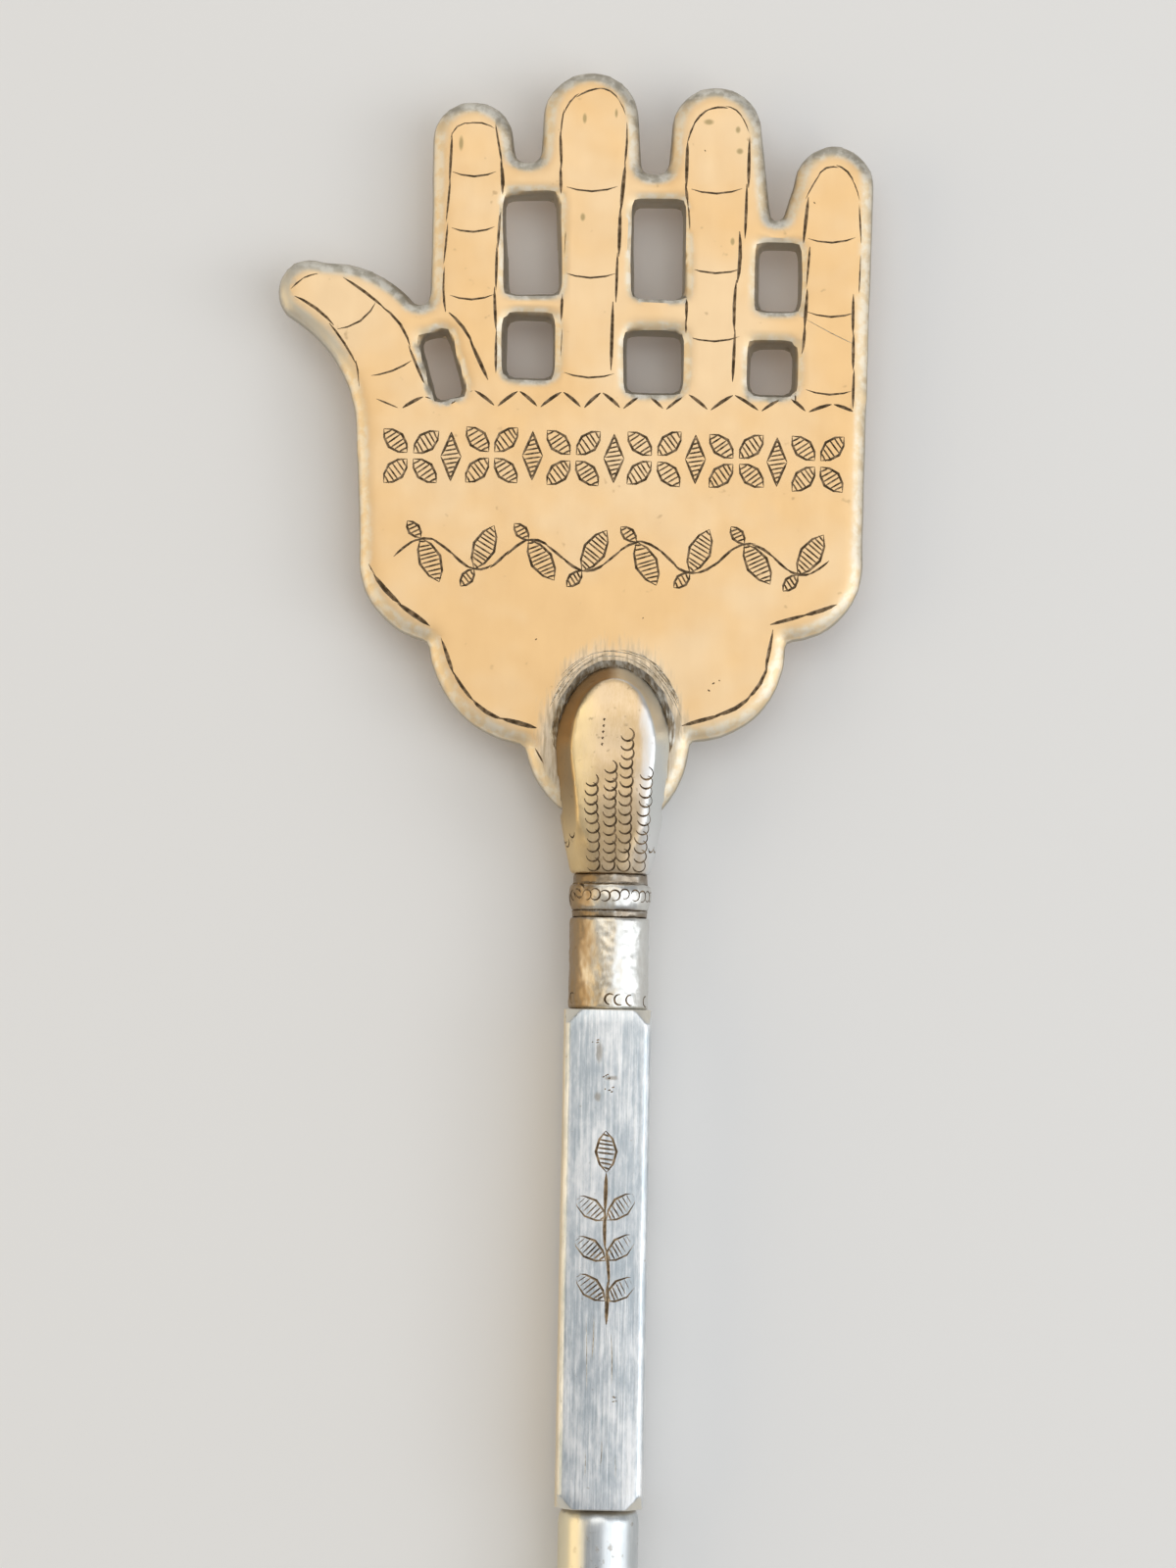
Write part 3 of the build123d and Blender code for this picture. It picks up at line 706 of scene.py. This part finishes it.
SOCKET_TONE = (0.62, 0.45, 0.25, 1)
SOCKET_PALE = (0.73, 0.56, 0.36, 1)
SOCKET_WARM_REFLECTION = (0.88, 0.67, 0.33, 1)
SOCKET_COOL_HIGHLIGHT = (0.78, 0.81, 0.84, 1)
SOCKET_TARNISH = (0.28, 0.20, 0.12, 1)
WALL_SHADE_BROWN = (0.24, 0.155, 0.075, 1)
WALL_REFLECTION_GREY = (0.66, 0.68, 0.66, 1)
socket_silver, field, shader = new_silver("socket_silver")
cloud = grain(field, 3.0)
rub = grain(field, 0.8, (1, 4, 1), 4.0)
scratch = grain(field, 0.14, (1, 4, 1), 4.0, 0.7)
spots = grain(field, 0.6, detail=3.0).between(0.62, 0.74)
rightward = place(field, "X") + 1.6 * rub - 0.8
colour = (cloud * 0.6 + scratch * 0.4).between(0.38, 0.62).blend(SOCKET_TONE, SOCKET_PALE)
# Painted reflection: warm on the socket's left side, and a cool painted highlight on its right.
colour = ((1 - rightward.between(-2.4, -0.6)) * 0.6).blend(colour, SOCKET_WARM_REFLECTION)
colour = (rightward.between(1.4, 2.8) * 0.85).blend(colour, SOCKET_COOL_HIGHLIGHT)
colour = (spots * 0.45).blend(colour, SOCKET_TARNISH)
# The steep walls near the plate darken: some tarnish, with painted shade in brown on the left and a painted
# grey reflection on the right.
wall = 1 - (facing(field, "Z") * facing(field, "Z") + 0.14 * rub).between(0.66, 0.98)
near = place(field, "Y").between(114.5, 120.0)
wall_tarnish_and_shade = (facing(field, "X") + 0.3 * rub).between(-0.1, 0.4).blend(WALL_SHADE_BROWN, WALL_REFLECTION_GREY)
colour = (wall * (0.2 + 0.65 * near)).blend(colour, wall_tarnish_and_shade)
gloss = 0.24 + 0.16 * rub + 0.12 * scratch + 0.1 * spots
finish_silver(field, shader, colour, gloss, cloud * 0.5 + rub * 0.35 + scratch * 0.15, 0.03)

PUNCH_STEPS = 13
PUNCH_RISE = 10


def punched(piece, side, across, along, radius, first, last, width):
    """A curl struck into a piece on the shaft by a hollow punch, at an angle round the shaft from its front,
    and a place across and along that side. It starts and ends fine, and follows the surface."""
    outward = Vector((math.sin(side), 0, math.cos(side)))
    sideways = Vector((math.cos(side), 0, -math.sin(side)))
    points = []
    for step in range(PUNCH_STEPS + 1):
        share = step / PUNCH_STEPS
        turn = math.radians(first + (last - first) * share)
        above = Vector((0, along + radius * math.sin(turn), SHAFT_HEIGHT))
        above += sideways * (across + radius * math.cos(turn)) + outward * PUNCH_RISE
        _, surface, _, _ = piece.ray_cast(above * MM, -outward)
        swell = 0.35 + 0.65 * math.sin(math.pi * share)
        points.append((surface, swell * width / 2 * MM))
    return points


scaled_socket = bench_copy("hand_socket", "scaled_socket")
even_out(scaled_socket, 6, 2)
file_by_hand(scaled_socket, (0.05, 0.05, 0.03), 1.5)
scaled_socket.data.materials.append(socket_silver)
bpy.context.view_layer.update()

SCALE_COLUMNS = ((-1.45, 119.7), (-0.15, 120.6), (1.0, 122.8), (2.35, 120.2))
SCALE_FOOT = 114.0
SCALE_PITCH = 0.62
SCALE_RADIUS = 0.44
SCALE_WIDTH = 0.17
SCALE_CURL = (195, 418)
STRAY_SCALES = 12
STRAY_RADIUS = 0.36
STRAY_CURL = 170
DOT_COUNT = 5
DOT_RADIUS = 0.04
DOT_CURL = 300
DOT_WIDTH = 0.14
scales = []
for across, top in SCALE_COLUMNS:
    count = round((top - SCALE_FOOT) / SCALE_PITCH)
    for number in range(count + 1):
        along = SCALE_FOOT + (top - SCALE_FOOT) * number / count
        narrowing = 0.82 + 0.18 * number / count
        column = across * narrowing + unsteady.uniform(-0.06, 0.06)
        first = SCALE_CURL[0] + unsteady.uniform(-15, 15)
        last = SCALE_CURL[1] + unsteady.uniform(-18, 18)
        scales.append(punched(scaled_socket, 0, column, along, SCALE_RADIUS, first, last, SCALE_WIDTH))
for _ in range(STRAY_SCALES):
    side = math.radians(unsteady.choice((-1, 1)) * unsteady.uniform(48, 110))
    along = unsteady.uniform(113.9, 116.2)
    first = unsteady.uniform(150, 230)
    last = first + STRAY_CURL
    scales.append(punched(scaled_socket, side, 0, along, STRAY_RADIUS, first, last, SCALE_WIDTH))
for number in range(DOT_COUNT):
    across = -0.72 + 0.03 * number
    along = 122.1 + 0.42 * number
    scales.append(punched(scaled_socket, 0, across, along, DOT_RADIUS, 0, DOT_CURL, DOT_WIDTH))
burin_cuts(scaled_socket, scales, cut_patina)
hand_over(scaled_socket)

# Neck ring and ferrule: turned from round rod, bored and slid on the core under the socket.
# The bead of the ring is struck all round with ringlets, and a few more run along the ferrule's lower edge.


def worn_silver(name, tone, pale, tarnish, dull, drawn, relief, groove=0, left_reflection=None, right_highlight=None):
    """Silver with cloudy tarnish, an uneven polish and scratches drawn out along an axis.
    On a turned piece, tarnish and painted shade gather where it is nearer to the shaft's axis than the radius
    of its grooves.
    A painted reflection colour shows on its left, and a painted highlight colour on its right."""
    material, field, shader = new_silver(name)
    cloud = grain(field, 3.0)
    rub = grain(field, 0.8, drawn, 4.0)
    scratch = grain(field, 0.14, drawn, 4.0, 0.7)
    spots = grain(field, 0.6, detail=3.0).between(0.62, 0.74)
    colour = (cloud * 0.6 + scratch * 0.4).between(0.38, 0.62).blend(tone, pale)
    colour = (spots * 0.55).blend(colour, tarnish)
    if left_reflection:
        # Painted reflection on the left side.
        left = (0.6 * rub - facing(field, "X")).between(0.5, 1.0)
        colour = (left * 0.9).blend(colour, left_reflection)
    if right_highlight:
        # Painted highlight on the right side.
        right = (facing(field, "X") + 0.3 * rub).between(0.05, 0.5)
        colour = (right * 0.75).blend(colour, right_highlight)
    if groove:
        # Tarnish and painted shade in the grooves.
        radius = reach(field, (0, 0, SHAFT_HEIGHT), (1, 0, 1))
        groove_tarnish_and_shade = 1 - (radius + 0.1 * rub).between(groove, groove + 0.14)
        colour = (groove_tarnish_and_shade * 0.8).blend(colour, tarnish)
    gloss = dull + 0.16 * rub + 0.12 * scratch + 0.1 * spots
    finish_silver(field, shader, colour, gloss, cloud * 0.5 + rub * 0.35 + scratch * 0.15, relief)
    return material


LATHE_TONE = (0.58, 0.47, 0.31, 1)
LATHE_PALE = (0.80, 0.75, 0.64, 1)
LATHE_TARNISH = (0.20, 0.135, 0.07, 1)
# Painted reflection: dark brown on the left; painted highlight: pale and cool on the right.
LATHE_LEFT_REFLECTION = (0.30, 0.19, 0.085, 1)
LATHE_RIGHT_HIGHLIGHT = (0.68, 0.70, 0.70, 1)
lathe_silver = worn_silver(
    "lathe_silver", LATHE_TONE, LATHE_PALE, LATHE_TARNISH,
    dull=0.20, drawn=(1, 3, 1), relief=0.06, groove=2.58, left_reflection=LATHE_LEFT_REFLECTION, right_highlight=LATHE_RIGHT_HIGHLIGHT,
)
BEAD_MIDDLE = 111.95
BEAD_HALF = 0.9
BEAD_FOOT = 2.62
BEAD_CROWN = 0.16
punched_ring = bench_copy("neck_ring", "punched_ring")
even_out(punched_ring, 6, 2)
for vertex in punched_ring.data.vertices:
    from_axis = Vector((vertex.co.x, 0, vertex.co.z - SHAFT_HEIGHT * MM))
    fall = min(abs(vertex.co.y / MM - BEAD_MIDDLE) / BEAD_HALF, 1)
    if from_axis.length > BEAD_FOOT * MM:
        vertex.co -= from_axis.normalized() * (BEAD_CROWN * fall * fall * MM)
file_by_hand(punched_ring, (0.05, 0.03, 0.05), 0.9)
file_by_hand(punched_ring, (0.03, 0.02, 0.03), 0.4)
punched_ring.data.materials.append(lathe_silver)
bpy.context.view_layer.update()

RINGLET_COUNT = 25
RINGLET_RADIUS = 0.38
RINGLET_CURL = 300
RINGLET_WIDTH = 0.15
CHEWED = (-92, -38)
CHEWED_COUNT = 9
CHEWED_RADIUS = 0.42
CHEWED_CURL = 85
CHEWED_WIDTH = 0.22
ringlets = []
for number in range(RINGLET_COUNT):
    turn = 360 * (number + unsteady.uniform(-0.12, 0.12)) / RINGLET_COUNT - 180
    along = BEAD_MIDDLE + unsteady.uniform(-0.12, 0.12)
    radius = RINGLET_RADIUS * unsteady.uniform(0.85, 1.1)
    first = unsteady.uniform(180, 260)
    if not CHEWED[0] < turn < CHEWED[1]:
        side = math.radians(turn)
        last = first + RINGLET_CURL
        ringlets.append(punched(punched_ring, side, 0, along, radius, first, last, RINGLET_WIDTH))
for _ in range(CHEWED_COUNT):
    side = math.radians(unsteady.uniform(*CHEWED))
    along = BEAD_MIDDLE + unsteady.uniform(-0.3, 0.3)
    first = unsteady.uniform(0, 360)
    last = first + CHEWED_CURL
    ringlets.append(punched(punched_ring, side, 0, along, CHEWED_RADIUS, first, last, CHEWED_WIDTH))
burin_cuts(punched_ring, ringlets, cut_patina)
hand_over(punched_ring)

worn_ferrule = bench_copy("neck_ferrule", "worn_ferrule")
even_out(worn_ferrule, 6, 2)
file_by_hand(worn_ferrule, (0.06, 0.02, 0.06), 1.3)
file_by_hand(worn_ferrule, (0.035, 0.02, 0.035), 0.45)
worn_ferrule.data.materials.append(lathe_silver)
bpy.context.view_layer.update()

FERRULE_RINGLETS = (-105, -62, 2, 17, 33, 70, 120, 160, 200, 232)
FERRULE_EDGE = 104.85
FERRULE_CURL = 210
ringlets = []
for turn in FERRULE_RINGLETS:
    side = math.radians(turn + unsteady.uniform(-3, 3))
    along = FERRULE_EDGE + unsteady.uniform(-0.1, 0.1)
    first = unsteady.uniform(40, 110)
    last = first + FERRULE_CURL
    ringlets.append(punched(worn_ferrule, side, 0, along, STRAY_RADIUS, first, last, SCALE_WIDTH))
burin_cuts(worn_ferrule, ringlets, cut_patina)
hand_over(worn_ferrule)

# Square bar: drawn square, its corners and ends filed, and bored for the core. File marks run along it.
# A leafy sprig is cut on the front, in the hatched strokes of the hand.

BAR_TONE = (0.46, 0.51, 0.54, 1)
BAR_PALE = (0.90, 0.90, 0.89, 1)
BAR_STAIN = (0.34, 0.30, 0.25, 1)
BAR_WARM_LIGHT = (0.88, 0.68, 0.38, 1)
BAR_FILED_END = (0.80, 0.76, 0.66, 1)
BAR_STAINS = ((-0.54, 101.3, 0.22, 0.65), (0.36, 99.55, 0.42, 0.16), (-0.6, 98.3, 0.2, 0.3))
bar_silver, field, shader = new_silver("bar_silver")
cloud = grain(field, 2.6, (1, 2, 1))
streak = grain(field, 0.22, (1, 40, 1), 5.0, 0.65)
scratch = grain(field, 0.07, (1, 60, 1), 4.0, 0.7)
fleck = grain(field, 0.35, (1, 3, 1), 4.0, 0.65)
spots = grain(field, 0.5, detail=3.0).between(0.68, 0.76)
colour = (cloud * 0.4 + streak * 0.35 + fleck * 0.25).between(0.38, 0.62).blend(BAR_TONE, BAR_PALE)
colour = (spots * 0.5).blend(colour, BAR_STAIN)
for x, y, half_width, half_height in BAR_STAINS:
    stain = reach(field, (x, y, 0), (half_width, half_height, 0)) + 1.6 * fleck
    colour = ((1 - stain.between(1.3, 2.2)) * 0.7).blend(colour, BAR_STAIN)
filed_end = (facing(field, "Y") * facing(field, "Y")).between(0.06, 0.2)
colour = (filed_end * 0.85).blend(colour, BAR_FILED_END)
# Painted warm light on the bar's left side and its chamfers.
warm = (0.3 * streak - facing(field, "X")).between(0.75, 1.05)
colour = (warm * 0.7).blend(colour, BAR_WARM_LIGHT)
finish_silver(field, shader, colour, 0.2 + 0.22 * streak + 0.12 * cloud, streak * 0.7 + scratch * 0.3, 0.03)

BAR_HALF = 3.0
BAR_CROWN = 0.13
filed_bar = bench_copy("square_bar", "filed_bar")
wear_edges(filed_bar, "square_bar", 0.1, (0.6, 1.2, 0.6))
for vertex in filed_bar.data.vertices:
    x = vertex.co.x / MM / BAR_HALF
    z = (vertex.co.z / MM - SHAFT_HEIGHT) / BAR_HALF
    vertex.co.x *= 1 - BAR_CROWN / BAR_HALF * z * z
    vertex.co.z -= BAR_CROWN * z * x * x * MM
file_by_hand(filed_bar, (0.015, 0.03, 0.015), 3.0)
filed_bar.data.materials.append(bar_silver)

_, bar_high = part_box("square_bar")
bar_face = bar_high.z / MM
SPRIG_STEM = ((0.25, 83.4), (0.35, 86.5), (0.0, 90.0), (0.1, 93.2))
SPRIG_DASH = 2.4
SPRIG_WIDTH = 0.26
SPRIG_MIDDLE = 0.15
SPRIG_PAIRS = (84.6, 87.3, 90.0)
SPRIG_LEAF = (2.7, 1.3)
TOP_LEAF = (2.8, 1.4)
BAR_PITS = ((-0.2, 99.7), (0.1, 98.8), (-0.8, 102.0), (0.7, 78.0))
sprig = dashes(SPRIG_STEM, SPRIG_DASH, SPRIG_WIDTH, bar_face)
for height in SPRIG_PAIRS:
    for lean in (38, 142):
        heading = math.radians(lean + unsteady.uniform(-5, 5))
        sprig += leaf((SPRIG_MIDDLE, height), heading, *SPRIG_LEAF, bar_face)
sprig += leaf(SPRIG_STEM[-1], math.radians(92), *TOP_LEAF, bar_face)
for x, y in BAR_PITS:
    for _ in range(4):
        start = Vector((x + unsteady.uniform(-0.3, 0.3), y + unsteady.uniform(-0.2, 0.2)))
        end = start + Vector((unsteady.uniform(0.1, 0.25), 0.05))
        sprig.append(stroke(start, end, 0.1, 0, bar_face))
BAR_SCRATCH_WIDTH = 0.07
BAR_SCRATCHES = (
    ((-1.8, 88.3), (-1.5, 80.7)), ((-1.15, 84.9), (-0.97, 78.0)), ((-0.58, 83.7), (-0.65, 80.7)),
    ((-1.8, 75.4), (-1.6, 73.3)), ((-1.0, 74.6), (-1.0, 72.7)), ((0.1, 75.3), (0.05, 73.6)),
    ((1.55, 76.0), (1.5, 74.3)), ((1.0, 74.4), (1.05, 72.6)), ((0.6, 82.4), (0.7, 79.0)),
)
scratches = [stroke(top, foot, BAR_SCRATCH_WIDTH, SLIGHT_BOW, bar_face) for top, foot in BAR_SCRATCHES]
burin_cuts(filed_bar, sprig, cut_patina)
burin_cuts(filed_bar, scratches, bright_cut)
hand_over(filed_bar)

# Grip: a long round rod with a turned groove under the bar, bored for the core.
# The hand has worn it smooth, and a warm reflection is painted on its left side.

GRIP_TONE = (0.54, 0.57, 0.58, 1)
GRIP_PALE = (0.68, 0.70, 0.70, 1)
GRIP_TARNISH = (0.30, 0.25, 0.19, 1)
# Painted reflection: warm gold on the grip's left side.
GRIP_LEFT_REFLECTION = (0.76, 0.67, 0.46, 1)
grip_silver = worn_silver(
    "grip_silver", GRIP_TONE, GRIP_PALE, GRIP_TARNISH,
    dull=0.18, drawn=(1, 18, 1), relief=0.006, groove=2.54, left_reflection=GRIP_LEFT_REFLECTION,
)
worn_grip = bench_copy("grip_rod", "worn_grip")
even_out(worn_grip, 8, 4)
file_by_hand(worn_grip, (0.006, 0.01, 0.006), 6.0)
worn_grip.data.materials.append(grip_silver)
hand_over(worn_grip)

# Collars: a turned bead on each side of the knop, bored and slid on the core rod.
# Both are struck all round with the same ringlets as the neck ring.

END_TONE = (0.58, 0.52, 0.41, 1)
END_PALE = (0.82, 0.78, 0.69, 1)
end_silver = worn_silver(
    "end_silver", END_TONE, END_PALE, LATHE_TARNISH, dull=0.20, drawn=(1, 1, 1), relief=0.05, groove=2.45,
)
COLLAR_RINGLETS = 28
COLLAR_RADIUS = 0.36
COLLAR_WIDTH = 0.14
for node, name in (("grip_collar", "upper_collar"), ("end_collar", "lower_collar")):
    collar = bench_copy(node, name)
    wear_edges(collar, node, 0.06, (0.6, 0.6, 0.6))
    file_by_hand(collar, (0.03, 0.02, 0.03), 0.9)
    collar.data.materials.append(end_silver)
    bpy.context.view_layer.update()
    low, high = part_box(node)
    middle = (low.y + high.y) / 2 / MM
    ringlets = []
    for number in range(COLLAR_RINGLETS):
        side = math.tau * (number + unsteady.uniform(-0.12, 0.12)) / COLLAR_RINGLETS
        first = unsteady.uniform(180, 260)
        along = middle + unsteady.uniform(-0.08, 0.08)
        last = first + RINGLET_CURL
        ringlets.append(punched(collar, side, 0, along, COLLAR_RADIUS, first, last, COLLAR_WIDTH))
    burin_cuts(collar, ringlets, cut_patina)
    hand_over(collar)

# Knop: a square block with its corners filed off in flat facets, so that the pointer doesn't roll.
# Each of its four flats has a flower of ringlets, struck with the punch of the collars.

KNOP_TONE = (0.68, 0.64, 0.56, 1)
KNOP_PALE = (0.88, 0.85, 0.79, 1)
KNOP_TARNISH = (0.30, 0.25, 0.18, 1)
knop_silver = worn_silver(
    "knop_silver", KNOP_TONE, KNOP_PALE, KNOP_TARNISH, dull=0.2, drawn=(1, 6, 1), relief=0.03,
)
filed_knop = bench_copy("faceted_knop", "filed_knop")
wear_edges(filed_knop, "faceted_knop", 0.18, (0.9, 0.9, 0.9))
file_by_hand(filed_knop, (0.02, 0.02, 0.02), 1.8)
filed_knop.data.materials.append(knop_silver)
bpy.context.view_layer.update()
KNOP_FLATS = 4
PETAL_COUNT = 6
PETAL_REACH = 1.12
PETAL_RADIUS = 0.4
PETAL_CURL = 320
PETAL_WIDTH = 0.18
flowers = []
for flat in range(KNOP_FLATS):
    petals = [(0, 0)]
    for petal in range(PETAL_COUNT):
        heading = math.tau * petal / PETAL_COUNT + unsteady.uniform(-0.03, 0.03)
        petals.append((PETAL_REACH * math.cos(heading), PETAL_REACH * math.sin(heading)))
    for across, along in petals:
        side = math.tau * flat / KNOP_FLATS
        first = unsteady.uniform(0, 360)
        last = first + PETAL_CURL
        flowers.append(punched(filed_knop, side, across, along, PETAL_RADIUS, first, last, PETAL_WIDTH))
burin_cuts(filed_knop, flowers, cut_patina)
hand_over(filed_knop)

# End cap, eye and ring: a turned cap, an eye screwed down on the core rod that clamps the stack together,
# and a loose ring of round wire in the eye, for a cord or a chain.

cap = bench_copy("end_cap", "worn_cap")
wear_edges(cap, "end_cap", 0.08, (0.7, 0.7, 0.7))
file_by_hand(cap, (0.03, 0.02, 0.03), 1.2)
cap.data.materials.append(end_silver)
hand_over(cap)

WIRE_TONE = (0.70, 0.66, 0.58, 1)
WIRE_PALE = (0.88, 0.85, 0.78, 1)
wire_silver = worn_silver(
    "wire_silver", WIRE_TONE, WIRE_PALE, KNOP_TARNISH, dull=0.2, drawn=(1, 1, 1), relief=0.03,
)
eye = bench_copy("hanging_eye", "worn_eye")
even_out(eye, 6, 2)
file_by_hand(eye, (0.02, 0.02, 0.02), 1.0)
eye.data.materials.append(wire_silver)
hand_over(eye)

loose_ring = bench_copy("hanging_ring", "loose_ring", body="ring")
wear_edges(loose_ring, "hanging_ring", 0.06, (1.0, 1.0, 1.0))
file_by_hand(loose_ring, (0.02, 0.02, 0.02), 1.4)
loose_ring.data.materials.append(wire_silver)
hand_over(loose_ring)

# Core rod: plain drawn wire that the sections are threaded on, from the socket down to the eye.
# It is out of sight in the finished pointer.

CORE_DARK = (0.58, 0.57, 0.54, 1)
CORE_LIGHT = (0.72, 0.71, 0.68, 1)
core_silver, field, shader = new_silver("core_wire")
draw = grain(field, 0.1, (1, 60, 1), 4.0)
colour = draw.blend(CORE_DARK, CORE_LIGHT)
finish_silver(field, shader, colour, 0.3 + 0.2 * draw, draw, 0.01)
for material_slot in frame["nodes"]["core_rod"].material_slots:
    material_slot.material = core_silver

# Photographer's table: a plain pale sheet under the pointer, and a soft lamp overhead.
# A warm low lamp stands on the left, and cool ones on the right and beyond the fingertips.

TABLE_SIZE = 4.0
TABLE_MIDDLE = (0, 0.08, 0)
TABLE_WHITE = (0.80, 0.79, 0.77, 1)
ROOM_TINT = (0.94, 0.96, 1.0, 1)
ROOM_STRENGTH = 0.42
LAMP_AIM = Vector((0, 0.12, 0))
DAYLIGHT = (0.94, 0.97, 1.0)
bpy.ops.mesh.primitive_plane_add(size=TABLE_SIZE, location=TABLE_MIDDLE)
floor = bpy.context.active_object
floor.name = "table"
table_white = bpy.data.materials.new("table_white")
table_white.use_nodes = True
table_white.node_tree.nodes["Principled BSDF"].inputs["Base Color"].default_value = TABLE_WHITE
table_white.node_tree.nodes["Principled BSDF"].inputs["Roughness"].default_value = 0.8
floor.data.materials.append(table_white)

world = bpy.data.worlds.new("studio")
bpy.context.scene.world = world
world.use_nodes = True
world.node_tree.nodes["Background"].inputs["Color"].default_value = ROOM_TINT
world.node_tree.nodes["Background"].inputs["Strength"].default_value = ROOM_STRENGTH


def softbox(name, location, size, glow, tint):
    """A soft lamp aimed at the middle of the hand. A glow of 1 looks white."""
    lamp = bpy.data.lights.new(name, "AREA")
    lamp.shape = "RECTANGLE"
    lamp.size, lamp.size_y = size
    lamp.energy = math.pi * size[0] * size[1] * glow
    lamp.color = tint
    lamp_object = bpy.data.objects.new(name, lamp)
    lamp_object.location = location
    lamp_object.rotation_euler = (Vector(location) - LAMP_AIM).to_track_quat("Z", "Y").to_euler()
    bpy.context.collection.objects.link(lamp_object)


softbox("overhead", (-0.05, 0.36, 0.75), (0.6, 0.44), 1.35, (1.0, 0.96, 0.90))
softbox("left", (-0.6, 0.08, 0.28), (0.5, 0.56), 1.2, (1.0, 0.80, 0.48))
softbox("window", (0.42, 0.02, 0.54), (0.6, 0.6), 1.3, DAYLIGHT)
softbox("right", (0.62, 0.06, 0.24), (0.2, 0.5), 2.2, DAYLIGHT)
softbox("beyond", (0.0, 0.75, 0.30), (0.5, 0.3), 1.2, DAYLIGHT)

CAMERA_AIM = Vector((-1.65, 119.54, 4.8)) * MM
CAMERA_DISTANCE = 267.8 * MM
CAMERA_AZIMUTH = math.radians(2.12)
CAMERA_ELEVATION = math.radians(86.3)
CAMERA_ROLL = math.radians(-1.03)
CAMERA_LENS = 90.0
camera = bpy.data.cameras.new("camera")
camera.sensor_fit = "VERTICAL"
camera.sensor_height = 36.0
camera.lens = CAMERA_LENS
camera.clip_start = 0.01
camera_object = bpy.data.objects.new("camera", camera)
bpy.context.collection.objects.link(camera_object)
away = Vector((
    math.sin(CAMERA_AZIMUTH) * math.cos(CAMERA_ELEVATION),
    -math.cos(CAMERA_AZIMUTH) * math.cos(CAMERA_ELEVATION),
    math.sin(CAMERA_ELEVATION),
))
camera_object.location = CAMERA_AIM + away * CAMERA_DISTANCE
camera_object.rotation_mode = "QUATERNION"
camera_object.rotation_quaternion = away.to_track_quat("Z", "Y") @ Quaternion((0, 0, 1), CAMERA_ROLL)
bpy.context.scene.camera = camera_object
bpy.context.scene.view_settings.view_transform = "Standard"
